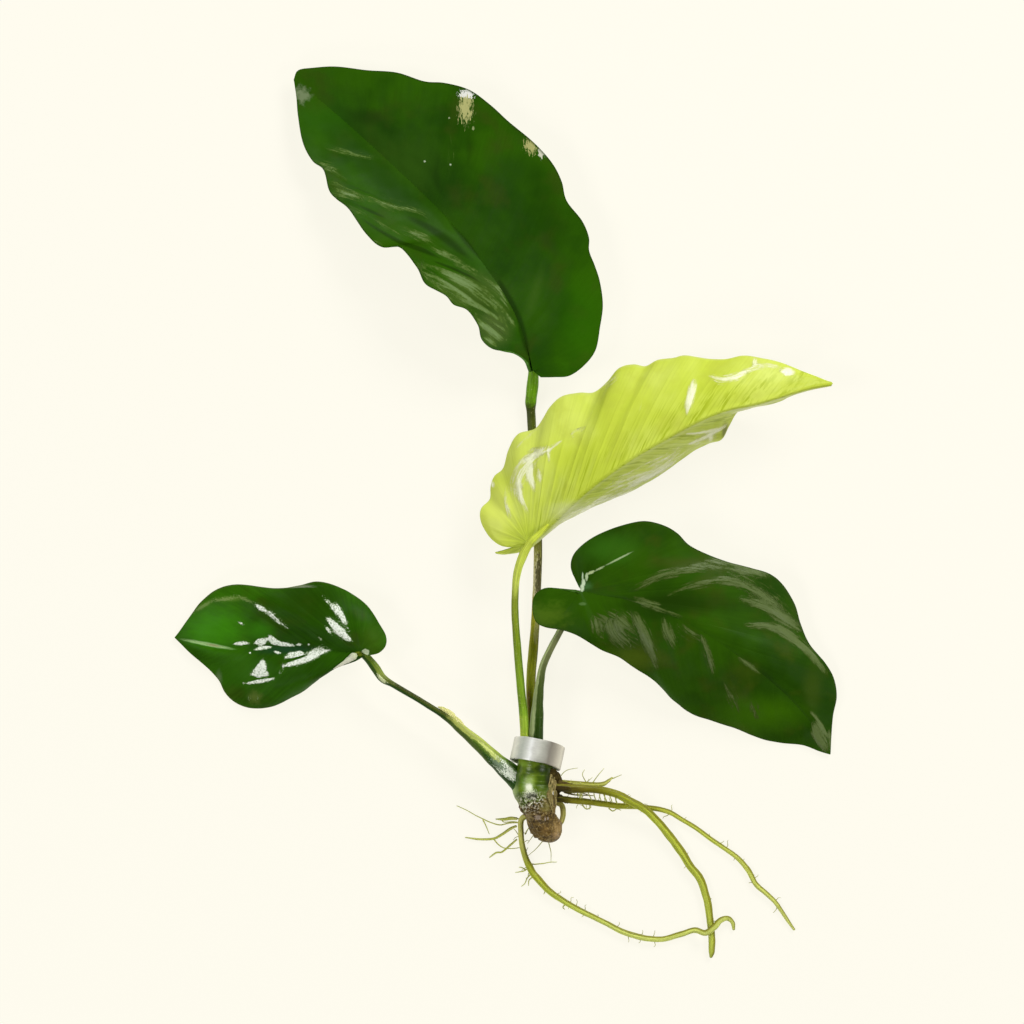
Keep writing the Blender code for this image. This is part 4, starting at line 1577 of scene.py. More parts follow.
# In the four streak tables the third number paints light: above 0 a painted highlight, below 0 a painted dark
# line of shade in the furrow.
TALL_STREAKS = (
    Streak(((-60, 120.3), (-54, 119), (-48, 117.3), (-42, 116.6)), 1.3, 0.48, 0.18),
    Streak(((-65, 116.4), (-60, 114.5), (-55, 113.4)), 2.2, 0.32),
    Streak(((-61, 113.8), (-56, 111), (-52, 108)), 1.6, 0.32),
    Streak(((-58, 108.5), (-52, 107.2), (-46, 104.5), (-40, 102), (-33, 99)), 2.4, 0.34, 0.18),
    Streak(((-57.5, 105.5), (-53, 104.3), (-48, 102.8)), 1.8, 0.4, 0.12),
    Streak(((-44, 103.5), (-36, 101), (-28, 98.5), (-23, 95)), 2, 0.32, 0.18),
    Streak(((-52, 101.5), (-46, 98)), 2.4, 0.24),
    Streak(((-45, 97.5), (-38, 92.5), (-31, 88.5)), 1.8, 0.27, 0.21),
    Streak(((-36, 94.5), (-30, 92), (-24, 89.6)), 1.8, 0.32, 0.18),
    Streak(((-31, 91.5), (-25, 88), (-20, 84.5)), 1.8, 0.32),
    Streak(((-24, 86), (-16, 82.5), (-10, 79)), 2, 0.4, 0.18),
    Streak(((-27, 80), (-18, 76.5), (-10, 72), (-4, 67), (0, 60)), 5, 0.5, 0.1),
    Streak(((-20, 78.4), (-15, 75.6), (-11, 72.6)), 1.6, 0.4),
    Streak(((-9, 64), (-5, 60.5), (-1, 57)), 2.6, 0.5),
    Streak(((-8, 78), (-3, 73.5), (1, 68), (4, 62)), 1.4, 0.4, 0.12),
    Streak(((-25, 79.5), (-20, 75.5), (-14, 71.5), (-8, 67.5), (-3, 63.5)), 0.9, 0.35, 0.24),
    Streak(((-11, 67.5), (-6, 64), (-1, 60)), 0.8, 0.45, 0.21),
    Streak(((-8.5, 62), (-5, 59.5), (-1.5, 56.5)), 1, 0.5, 0.21),
    Streak(((-7, 57.5), (-3, 54.5)), 1, 0.6),
    Streak(((0, 64.5), (3, 60.5)), 0.8, 0.4),
    Streak(((-44, 90), (-40, 87.8)), 1.2, 0.24),
    Streak(((-61, 111), (-56, 104.5), (-50, 99.5), (-44, 93), (-36, 89)), 4, 0.1),
    Streak(((-34, 85), (-28, 80.5), (-23, 75), (-15, 70), (-9, 62)), 3.4, 0.22),
    Streak(((-60, 112.5), (-54, 108.8), (-48, 106), (-40, 102.8), (-34, 101)), 0.8, -0.6, -0.15),
    Streak(((-53, 103), (-46, 99.5), (-40, 97)), 0.8, -0.6, -0.15),
    Streak(((-48, 97), (-42, 93), (-34, 88.5), (-26, 85.5), (-18, 82)), 0.9, -0.7, -0.18),
    Streak(((-24, 82.5), (-18, 80.3), (-12, 77.5), (-8, 75)), 0.7, -0.9, -0.15),
    Streak(((-26, 80), (-20, 76.5), (-14, 72.5), (-9, 69), (-3, 65)), 0.7, -0.9, -0.18),
    Streak(((-12, 67.5), (-7, 64.8), (-1, 61)), 0.6, -0.9, -0.12),
    Streak(((-9, 64.5), (-4, 61), (0, 57.5)), 0.6, -0.9, -0.12),
    Streak(((-2, 76), (2, 68), (5, 60.5), (7.4, 52)), 1.5, -0.9),
    Streak(((-20, 97), (-14, 90), (-8, 82.5)), 1.1, -0.6),
    Streak(((-34, 98.5), (-26, 94), (-18, 88.3), (-11, 82)), 1.7, -0.5),
    Streak(((-19, 128), (-18, 120), (-18.5, 112), (-20, 106)), 1.8, 0.2),
    Streak(((-14, 118), (-15, 110), (-17, 104)), 1.6, 0.2),
    Streak(((-24, 104), (-20, 98), (-15, 91)), 2, 0.16),
    Streak(((-13, 128), (-12, 121), (-13, 113)), 1.8, -0.25),
    Streak(((-22, 119), (-23, 110), (-20, 103)), 1.8, -0.25),
)
YOUNG_STREAKS = (
    Streak(((61.8, 43), (61.3, 40), (60.2, 36), (59.4, 32.3)), 1.3, 1.2, 0.3),
    Streak(((67, 44.4), (71, 43.2), (75, 44), (79, 46)), 1.4, 0.8, 0.18),
    Streak(((78, 45.8), (82, 47.3), (86, 47.5), (90, 47)), 1.4, 0.6, 0.12),
    Streak(((82, 50.6), (81.6, 48)), 0.9, 0.7),
    Streak(((90.6, 46), (94.2, 45.6)), 1.4, 1.4, 0.12),
    Streak(((3.5, 5), (3.6, 9), (5, 13), (8, 16.5), (11.5, 19.2)), 2.4, 0.7, 0.18),
    Streak(((8.6, 15.5), (8.2, 11.5), (9.6, 7)), 1.2, 1.0),
    Streak(((4.6, 10), (5, 5), (7, 0)), 1.0, 0.7),
    Streak(((11, 14), (11.4, 9.5)), 0.8, 0.7),
    Streak(((5, 16), (9.5, 18.4), (14.5, 20.8), (18.5, 23.4)), 0.9, 0.7, 0.15),
    Streak(((14.2, 21), (14.3, 16)), 0.5, 0.6),
    Streak(((6.5, 20.2), (10, 20.4), (13.5, 21.2)), 0.5, 0.6, 0.09),
    Streak(((21.6, 26.5), (22.4, 24.4)), 0.6, 0.6),
    Streak(((22, 26.4), (26, 27.2)), 0.6, 0.5),
    Streak(((0.4, 8), (0.2, 3), (1.5, -2)), 1.2, 0.5, 0.12),
    Streak(((-5, 10.6), (-4.4, 8)), 0.9, 0.8),
    Streak(((59, 26), (64, 26.4), (69, 27.6), (73, 29.6)), 0.6, 0.8, 0.12),
    Streak(((66.4, 24), (68.4, 25)), 1.0, 0.7),
    Streak(((12, -8.6), (18, -3.4), (25, -0.2), (32, 3.2), (40, 6.4)), 2.2, 0.5),
    Streak(((34, 8.8), (42, 12.4), (50, 16.6), (57, 21)), 2.6, 0.3, 0.06),
    Streak(((16, -4.6), (26, 1), (36, 6.4), (46, 11.6), (54, 16.4), (62, 22), (68, 26)), 4.5, 0.3),
    Streak(((40, 9.2), (48, 12.8), (55, 17.4)), 0.7, 0.5, 0.06),
    Streak(((60, 22.8), (66, 25.2), (72, 28.4)), 0.7, 0.6, 0.06),
    Streak(((74, 32.6), (81, 34.8), (88, 36.8)), 0.9, 0.5),
    Streak(((27, 39), (33, 41.4), (38, 46)), 1.4, 0.35),
    Streak(((3, 20), (7, 24.5), (13, 29)), 1.6, 0.3),
    Streak(((43, 44), (44.5, 36), (42, 28)), 2.2, 0.16),
    Streak(((30, 36), (28, 30), (25, 24)), 2.2, 0.16),
)
RIGHT_STREAKS = (
    Streak(((42, -25.5), (46, -23.2), (51, -20.8), (57, -19.5), (62, -19), (66, -19)), 1.69, 0.73, 0.24),
    Streak(((53, -27.5), (57, -25.8), (62, -24), (68, -23), (74, -22.8), (79, -24.3), (84, -27), (90, -31)),
           1.52, 0.68, 0.24),
    Streak(((66, -15.5), (71, -16.3), (76, -17.6), (82, -19), (87, -20.3)), 1.86, 0.83, 0.18),
    Streak(((60, -17.8), (66, -17.5), (72, -19)), 1.52, 0.48),
    Streak(((74, -19), (80, -20.2), (86, -21.5)), 1.01, 0.44),
    Streak(((77, -29), (82, -30), (86, -31.5), (90, -34), (94, -36.5), (97.5, -38.7)), 1.69, 0.87, 0.3),
    Streak(((79, -37.3), (84, -37.3), (88, -38), (92, -40), (96, -43), (100, -46.5), (103, -50),
            (105.3, -53)), 1.49, 1.04, 0.3),
    Streak(((40, -28.5), (46, -30.5), (52, -32.5), (57.5, -34.5)), 1.01, 0.63, 0.18),
    Streak(((42, -27.8), (47, -29.3), (51, -30.5)), 0.76, 0.54),
    Streak(((29, -35), (30, -40)), 2.7, 0.44),
    Streak(((29, -34), (36, -38), (44, -43)), 6, 0.3),
    Streak(((50, -36), (57, -41), (64, -46)), 4, 0.12),
    Streak(((70, -20), (82, -25), (93, -34), (101, -44)), 5, 0.25),
    Streak(((34, -35), (36, -40), (40, -44)), 3.51, 0.55),
    Streak(((37, -34), (41, -37.5)), 2.7, 0.54),
    Streak(((42.5, -34), (45, -39), (47.5, -45), (50, -51)), 2.03, 0.87, 0.3),
    Streak(((52, -35.5), (53, -39.5), (55.5, -44.5)), 1.69, 0.77, 0.24),
    Streak(((57, -37), (60, -39.8), (64, -42)), 1.6, 0.5),
    Streak(((64.5, -41), (66, -45), (67.5, -50), (68.5, -54)), 1.35, 0.77, 0.24),
    Streak(((76.5, -48), (80, -50.3), (83.5, -53)), 1.17, 0.73, 0.18),
    Streak(((72, -56), (74.5, -61), (77, -67)), 2.2, 0.44, 0.18),
    Streak(((81, -62), (83, -68)), 2.54, 0.34),
    Streak(((100.5, -66), (103, -69), (106, -74)), 1, 0.88, 0.12),
    Streak(((101.5, -70), (103, -74), (105.5, -78.5)), 1.6, 1.3, 0.18),
    Streak(((106.8, -72), (106.8, -79)), 1.01, 0.73),
)
LEFT_STREAKS = (
    Streak(((-60.5, -27.5), (-57.5, -30.5), (-55, -33.5), (-53, -36.5), (-51.6, -39)), 1.2, 0.62, 0.18),
    Streak(((-56, -29.5), (-54.3, -33), (-52.7, -36.5)), 0.8, 0.5),
    Streak(((-58.6, -35), (-56.4, -37.4), (-54, -40), (-51.2, -42.4)), 1.5, 1.15, 0.18),
    Streak(((-59.6, -37.4), (-57.4, -40.4)), 0.6, 0.6),
    Streak(((-61.7, -40.8), (-60.6, -42.4)), 0.6, 0.6),
    Streak(((-83, -30.2), (-80, -32), (-77.3, -33.6), (-74.6, -36.2), (-71.5, -38.4)), 1.2, 0.62, 0.18),
    Streak(((-82.4, -30.8), (-79.6, -32.6)), 0.9, 0.5),
    Streak(((-104.5, -33.5), (-99, -30.2), (-92, -28.6), (-86.5, -28.2), (-81.5, -30.2)), 1.6, 0.12, 0.18),
    Streak(((-89.8, -43.5), (-86.5, -43.2), (-84.6, -43.3)), 0.7, 1),
    Streak(((-82.6, -43.2), (-80.4, -42.6), (-78.8, -41.8)), 1.14, 1.1, 0.12),
    Streak(((-77.9, -40.6), (-77, -42.2), (-75, -43)), 1.06, 1.1, 0.12),
    Streak(((-77, -43), (-73, -43.5), (-69.6, -43.9)), 0.79, 1.1, 0.12),
    Streak(((-69, -43.5), (-67.2, -43.6)), 0.6, 0.8),
    Streak(((-65.3, -43.6), (-64.6, -43.6)), 0.5, 0.8),
    Streak(((-83, -45.4), (-80.5, -44.9), (-77.3, -44.6)), 0.62, 1, 0.09),
    Streak(((-84.6, -46.8), (-84, -46.3)), 0.5, 0.8),
    Streak(((-76.4, -46), (-74, -46.6)), 0.53, 0.9),
    Streak(((-72.8, -47.9), (-70, -47.3), (-66.4, -46.9)), 1.32, 0.95, 0.12),
    Streak(((-72.8, -50.6), (-68.6, -49.4), (-64.5, -47.9), (-61, -46.2), (-57.6, -45.4)), 1.23, 1.15, 0.18),
    Streak(((-65, -46.2), (-61.5, -44.8), (-59, -43.6)), 1.2, 0.4),
    Streak(((-72.6, -49), (-69, -48.3), (-65.4, -47.2)), 0.45, -0.9, -0.12),
    Streak(((-84, -53.2), (-81, -53), (-78.4, -53.3)), 1.5, 1.0, 0.18),
    Streak(((-82.2, -51.4), (-79.6, -51.6)), 1.3, 0.9, 0.12),
    Streak(((-80, -48.8), (-80.3, -50.4), (-80.6, -52)), 1.41, 0.9, 0.12),
    Streak(((-85.6, -56.5), (-82, -56), (-79, -55.5), (-76.2, -54.8)), 0.62, 1.1, 0.12),
    Streak(((-87, -56.2), (-86, -56.5)), 0.6, 0.7),
    Streak(((-75, -54), (-73.6, -51.6), (-73.8, -49.6)), 0.7, 0.4),
    Streak(((-84.6, -60), (-84.4, -62.8)), 0.9, 0.3),
    Streak(((-82.2, -60.4), (-81.8, -63)), 0.9, 0.3),
    Streak(((-88.4, -36.2), (-86.4, -37)), 0.7, 0.6),
)
TALL_LEAF = Leaf(
    name="leaf_tall",
    midrib=(
        (9, 46.5), (7.6, 53), (4.5, 61), (0, 70), (-6.5, 80), (-15, 91.5),
        (-25, 102.5), (-37, 114), (-50, 126), (-61, 135.5), (-70, 142.5),
    ),
    midrib_heights=(7.5, 4.2, 2.3, 1.6, 1.3, 1.2, 1.4, 2.2, 4.5),
    right=Side(
        edge=(
            (11.5, 44.4), (16, 44.4), (21, 44.9), (26, 48.5), (29.6, 53.5), (31, 61), (31.9, 68),
            (31, 75.5), (29.3, 81), (27.4, 86), (27.3, 90.5), (25, 96), (20, 102.5), (18.3, 109),
            (15, 115.2), (9, 121.8), (1, 128.5), (-5, 134), (-12, 139), (-20, 141.3), (-27, 141.9),
            (-36, 144.8), (-46, 145.6), (-56, 146.8), (-64, 146.4), (-68.6, 145.6), (-70, 142.5),
        ),
        edge_heights=(8, 9, 10, 11, 10, 11, 9, 10, 8, 7, 4.5),
        crown=(0, 1, 2, 2, 2, 1.5, 0),
        fan_share=0.15,
        vein_lean=1.4,
        vein_count=18,
        quilt=0.06,
    ),
    left=Side(
        edge=(
            (7.4, 49.2), (5, 51.3), (1.3, 53), (-4.3, 53.7), (-7.9, 56.8), (-9.2, 61.6), (-12.8, 66.5),
            (-17.2, 68.2), (-20.1, 71.4), (-26.3, 74.8), (-29.3, 80.4), (-32.5, 84.8), (-35.8, 87.4),
            (-40.9, 87.3), (-45.8, 91.4), (-51.7, 99.6), (-55.8, 103.1), (-58.3, 106.2), (-60.1, 112.8),
            (-63.8, 115.8), (-66.9, 121.7), (-68.5, 130.2), (-69.1, 136.6), (-70, 142.5),
        ),
        edge_heights=(9, 14.5, 18.5, 20, 18.5, 15, 11.5, 9, 7, 5.5, 4.5),
        crown=(0, 0.5, -0.5, -1, -0.5, 0, 0),
        fan_share=0,
        vein_lean=1.2,
        vein_count=14,
        quilt=0.12,
    ),
    streaks=TALL_STREAKS,
    waviness=0.6,
    hollow=1.4,
    seed=1,
)

YOUNG_LEAF = Leaf(
    name="leaf_young",
    midrib=(
        (7.5, -10), (12, -6), (18, 0), (25, 6.5), (33, 12.7), (43, 19.3), (53, 25), (63, 30.3),
        (72, 33.9), (82, 36), (91, 38.6), (100, 41.2), (107.5, 42.4),
    ),
    midrib_heights=(14.2, 19.5, 22.5, 24, 24.5, 24, 22, 19, 14),
    left=Side(
        edge=(
            (3, -10.8), (-1, -11.2), (-5, -8.5), (-8, -3.5), (-8.2, 1), (-5.3, 4.2), (-5, 8.5),
            (-3.8, 11.8), (-0.8, 14.5), (1.2, 21), (4.2, 25.6), (10, 27.6), (14.5, 34.3), (18.5, 38),
            (24, 39.2), (29, 39.4), (33.5, 43), (37.5, 47.4), (42, 48.5), (46, 48), (50, 50),
            (55, 50.6), (59, 51.4), (66, 50.4), (72, 50.3), (78, 51.4), (84, 50.5), (91, 48.8),
            (98, 46), (107.5, 42.4),
        ),
        edge_heights=(13.6, 11, 10.5, 12, 14, 14, 15, 16, 16.5, 16, 14),
        crown=(0, 3, 4, 4, 3.5, 2.5, 0),
        fan_share=0.35,
        vein_lean=1.5,
        vein_count=22,
        quilt=0.1,
    ),
    right=Side(
        edge=(
            (4, -12), (-1.5, -12.6), (-3.6, -13.2), (0, -13.7), (6, -12.6), (10.6, -9.4), (14.4, -6.2),
            (19.4, -2.4), (25.2, 0.3), (31, 3), (37, 5.3), (43, 8), (50, 12), (56.4, 16.5),
            (61.6, 20.1), (66.7, 22.7), (71, 24), (73.2, 28), (76.2, 33), (80, 34.1), (85, 35.6),
            (90.5, 36.7), (96.7, 39.9), (107.5, 42.4),
        ),
        edge_heights=(13.4, 9.5, 7, 2.4, 0.2, 0.1, 0.1, 0.5, 3.5, 9, 14),
        crown=(0, 0.5, 1, 1, 1, 0.5, 0),
        fan_share=0.2,
        vein_lean=1.4,
        vein_count=18,
        quilt=0.12,
    ),
    facing=Skin.UNDER,
    streaks=YOUNG_STREAKS,
    waviness=0.6,
    hollow=0,
    seed=2,
)

RIGHT_LEAF = Leaf(
    name="leaf_right",
    midrib=(
        (24.5, -25.8), (31, -27.3), (39, -28.6), (48, -31.3), (57, -35), (66, -40), (75, -46.3),
        (84, -53), (92, -60), (99, -67.5), (104, -74.5), (107, -80),
    ),
    midrib_heights=(16.2, 16.6, 17, 16.6, 14.8, 11.8, 8, 4.2, 1.0),
    right=Side(
        edge=(
            (22, -26.4), (17, -25), (12.5, -25.1), (9.4, -27.5), (8.7, -31.5), (9.8, -36), (13, -37.9),
            (19, -39), (24, -41), (31, -45.3), (37, -48), (43, -52), (49, -55.8), (55, -61.8),
            (61, -66.5), (68, -69), (76, -71.5), (84, -74.7), (91, -76.2), (98, -77), (103, -78.8),
            (107, -80),
        ),
        edge_heights=(16, 15.6, 15.2, 14.6, 10, 6, 3, 0.9, 0.5, 0.7, 1.0),
        crown=(0, 0.8, 2.5, 3.5, 3.5, 2, 0),
        fan_share=0.38,
        vein_lean=1.4,
        vein_count=13,
        quilt=0.14,
    ),
    left=Side(
        edge=(
            (22.8, -22.3), (21.3, -18), (22.5, -13.5), (27, -9.3), (33, -6.2), (40, -3.9), (46, -3),
            (52, -4.4), (56.5, -7), (60.4, -10.9), (67.1, -14.3), (74, -16.8), (81, -18.6), (87, -20.5),
            (91, -23.8), (95, -30), (97.2, -37), (100, -43.5), (105, -49.5), (108.2, -55), (109, -61),
            (107.9, -67), (107.3, -74), (107, -80),
        ),
        edge_heights=(17, 22, 21, 16.5, 13, 10, 7, 5, 3.5, 2, 1.0),
        crown=(0, 1, 3, 4.5, 4.5, 2.5, 0),
        fan_share=0.45,
        vein_lean=2,
        vein_count=12,
        quilt=0.14,
    ),
    streaks=RIGHT_STREAKS,
    waviness=0.7,
    hollow=0.7,
    seed=3,
)

LEFT_LEAF = Leaf(
    name="leaf_left",
    midrib=(
        (-47.8, -46), (-54, -46), (-62, -45), (-70, -44.3), (-79, -44.2), (-88, -44.8), (-96, -44.2),
        (-103, -42.8), (-109.3, -41.4),
    ),
    midrib_heights=(11.4, 10.2, 8.6, 7.2, 5.8, 4.2, 2.8, 1.0),
    right=Side(
        edge=(
            (-45.3, -47.3), (-41.8, -46.4), (-39.6, -44), (-39.6, -40.7), (-42, -36.4), (-46, -30.6),
            (-51, -26.7), (-56.5, -24), (-62.5, -22.7), (-68.5, -24.2), (-75, -25), (-82, -24.2),
            (-89, -23.8), (-95, -25.3), (-100.5, -29.5), (-105, -35.5), (-107.5, -39), (-109.3, -41.4),
        ),
        edge_heights=(11.6, 11, 10.5, 9, 7, 6, 6, 4.5, 2.5, 1.0),
        crown=(0, 2, 4, 5, 4, 2, 0),
        fan_share=0.45,
        vein_lean=2.4,
        vein_count=9,
        quilt=0.12,
    ),
    left=Side(
        edge=(
            (-47, -47.6), (-50, -49.4), (-55.5, -51.2), (-60, -54), (-66, -58.6), (-72, -62),
            (-78, -64.3), (-84, -64.6), (-89, -63), (-92.6, -59.8), (-95, -55.3), (-99, -51),
            (-104, -46.7), (-107.5, -43.2), (-109.3, -41.4),
        ),
        edge_heights=(10.2, 6.5, 4.5, 2.4, 1.0, 0.6, 0.6, 0.9, 1.2, 1.0),
        crown=(0, 2, 3.5, 4, 3, 1.5, 0),
        fan_share=0.12,
        vein_lean=1.8,
        vein_count=9,
        quilt=0.12,
    ),
    streaks=LEFT_STREAKS,
    waviness=0.8,
    hollow=0.6,
    seed=4,
)

# Round members: x, y, z of the centre line and the radius there, from the plant's crown outwards.
RHIZOME = (
    (9.7, -76.8, 8.7, 3.8), (9.7, -77.8, 8.7, 5.3), (9.7, -81, 8.8, 5.7), (9.6, -84.5, 8.9, 6.0),
    (8.9, -88, 7.4, 6.7), (9, -91, 7, 6.9), (9.7, -94.5, 6.7, 6.1), (10.9, -98.5, 6.3, 5.4),
    (11.2, -101, 6.1, 4.6), (12.9, -103.6, 5.9, 4.9), (14.2, -106, 5.8, 4.8), (14.8, -108, 5.8, 3.9),
    (15, -109, 5.8, 2.6),
)
STALKS = {
    "stalk_tall": (
        (9, -79, 6.2, 1.6), (8.9, -73, 6.3, 1.6), (8.4, -65, 6.1, 1.5), (8.2, -56, 5.3, 1.55),
        (8.8, -47, 4.4, 1.6), (9.6, -38, 3.5, 1.45), (10.2, -26, 2.5, 1.35), (10.5, -12, 1.9, 1.4),
        (10, 5, 1.7, 1.4), (9, 20, 1.8, 1.4), (8.2, 33, 2.1, 1.45), (8.2, 36.5, 2.4, 1.9),
        (8.8, 41.5, 3.0, 2.0), (9.1, 46.4, 3.9, 1.7), (9.3, 48.6, 4.6, 1.4),
    ),
    "stalk_young": (
        (6.2, -79, 10.4, 1.5), (6.1, -73.5, 10.7, 1.45), (5.8, -66, 11.1, 1.45), (4.8, -57, 11.8, 1.35),
        (3.8, -46, 12.6, 1.3), (3.1, -35, 13.5, 1.2), (3, -25, 14.5, 1.15), (3.9, -19, 15.5, 1.3),
        (5.6, -14.3, 16, 1.45), (7.6, -10.6, 17.2, 1.3), (8.8, -9.2, 18, 1.15), (11.2, -6.9, 17.9, 0.95),
        (14, -4, 18.5, 0.6),
    ),
    "stalk_right": (
        (9.9, -79, 10.4, 2.45), (9.9, -73.5, 10.7, 2.4), (10.2, -68, 10.9, 2.1), (10.6, -62, 11, 1.75),
        (11.2, -56, 11.1, 1.4), (12.3, -50.5, 11.2, 1.25), (14.7, -45, 11.4, 1.15), (17.8, -39.2, 11.7, 1.1),
        (21, -33, 12.3, 1.15), (23.6, -28.2, 12.9, 1.25), (24.9, -26.2, 13.2, 1.15),
    ),
    "stalk_left": (
        (7, -93.2, 6.6, 3.4), (5.1, -89.4, 7.2, 3.8), (0.9, -85.6, 7.9, 3.2), (-3.2, -81.9, 8.3, 2.6),
        (-8, -77.2, 8.6, 2.2), (-14, -72.2, 8.8, 1.75), (-19, -67.9, 8.8, 1.4), (-23, -65.4, 8.7, 1.0),
        (-30, -61.1, 8.5, 0.95), (-37, -57, 8.4, 1.0), (-40.6, -54.8, 8.2, 1.4), (-43, -51.5, 8, 1.5),
        (-45.6, -48.3, 8.2, 1.35), (-47.4, -46.6, 8.3, 1.2), (-49, -45.4, 8.2, 1.0),
    ),
}
ROOTS = {
    "root_thick": (
        (12, -90.5, 8.4, 1.2), (22, -91, 7, 1.3), (33, -91.9, 5.3, 1.3), (40, -94.8, 4.6, 1.3),
        (46.4, -98.6, 3.6, 1.3), (51.8, -104.3, 2.2, 1.3), (56.8, -110.6, 1.5, 1.35),
        (60.3, -116.3, 1.4, 1.35), (64, -121.1, 1.35, 1.3), (66.2, -127.5, 1.3, 1.25),
        (67.4, -134.5, 1.25, 1.2), (67.9, -141, 1.2, 1.15), (67.8, -145, 1.1, 1.0), (67.4, -147.2, 0.8, 0.5),
    ),
    "root_long": (
        (12, -94, 6.4, 1.1), (22, -95, 4, 1.1), (30, -95.9, 2, 1.05), (38, -97, 1.05, 1.0),
        (46, -97.4, 0.9, 0.85), (53, -98.7, 0.85, 0.8), (60, -102.5, 0.8, 0.75), (67.8, -108, 0.8, 0.75),
        (75.2, -113.1, 0.85, 0.8), (79.7, -118, 0.95, 0.9), (82.5, -122.8, 0.9, 0.85),
        (85.4, -125.5, 0.85, 0.8), (88.5, -128.5, 0.8, 0.75), (92, -133.5, 0.7, 0.65),
        (95.4, -138.1, 0.5, 0.4),
    ),
    "root_hooked": (
        (9, -99.8, 5.4, 1.0), (5.4, -101.2, 3.9, 0.95), (4.8, -105.5, 2.4, 0.95), (5.6, -111.5, 1.4, 0.95),
        (8.3, -118, 1.2, 1.15), (10.6, -121, 1.3, 1.25), (14.1, -124.7, 1.15, 1.1), (20, -128.9, 1.0, 0.95),
        (30, -134.3, 0.95, 0.9), (40, -139, 1.0, 0.95), (50, -141, 1.0, 0.95), (57, -139.4, 1.0, 0.95),
        (62, -138, 1.5, 0.95), (65.8, -138.9, 3.4, 0.95), (68.6, -137, 3.95, 1.0), (70.7, -134.8, 3, 0.95),
        (73, -134.1, 1.4, 0.85), (74.7, -135.4, 0.8, 0.7), (75.1, -138, 0.6, 0.45),
    ),
    "root_short": (
        (12, -88.4, 5.6, 0.9), (20, -89.2, 4.6, 0.95), (27, -89.8, 3.9, 0.9), (31.5, -89.8, 3.5, 0.8),
        (33.7, -88.7, 3.3, 0.55), (35.2, -87.4, 3.1, 0.25),
    ),
    "root_stub": (
        (14, -95, 3.4, 0.9), (18, -96.4, 2.6, 0.95), (18.8, -99, 2, 0.9), (18.3, -101.8, 1.6, 0.85),
        (17.4, -103.6, 1.3, 0.5),
    ),
    "rootlet_upper": (
        (3.9, -101.2, 3.6, 0.5), (1.6, -101, 3, 0.6), (-0.6, -101.3, 2.4, 0.5), (-3.4, -101.3, 1.8, 0.2),
    ),
    "rootlet_middle": (
        (3.6, -103.6, 2.4, 0.4), (1.4, -104.6, 1.8, 0.5), (-1.6, -106.6, 1.1, 0.45), (-4.4, -107.9, 0.7, 0.4),
        (-9, -108, 0.5, 0.35), (-13.6, -107.4, 0.4, 0.2),
    ),
    "rootlet_lower": (
        (3.6, -107.8, 1.4, 0.3), (1.6, -109.6, 1, 0.35), (-1.4, -112.2, 0.6, 0.3), (-3.4, -112.5, 0.5, 0.3),
        (-5.6, -114.1, 0.4, 0.2),
    ),
}


# ---------------------------------------------------------------- the plant's finishes

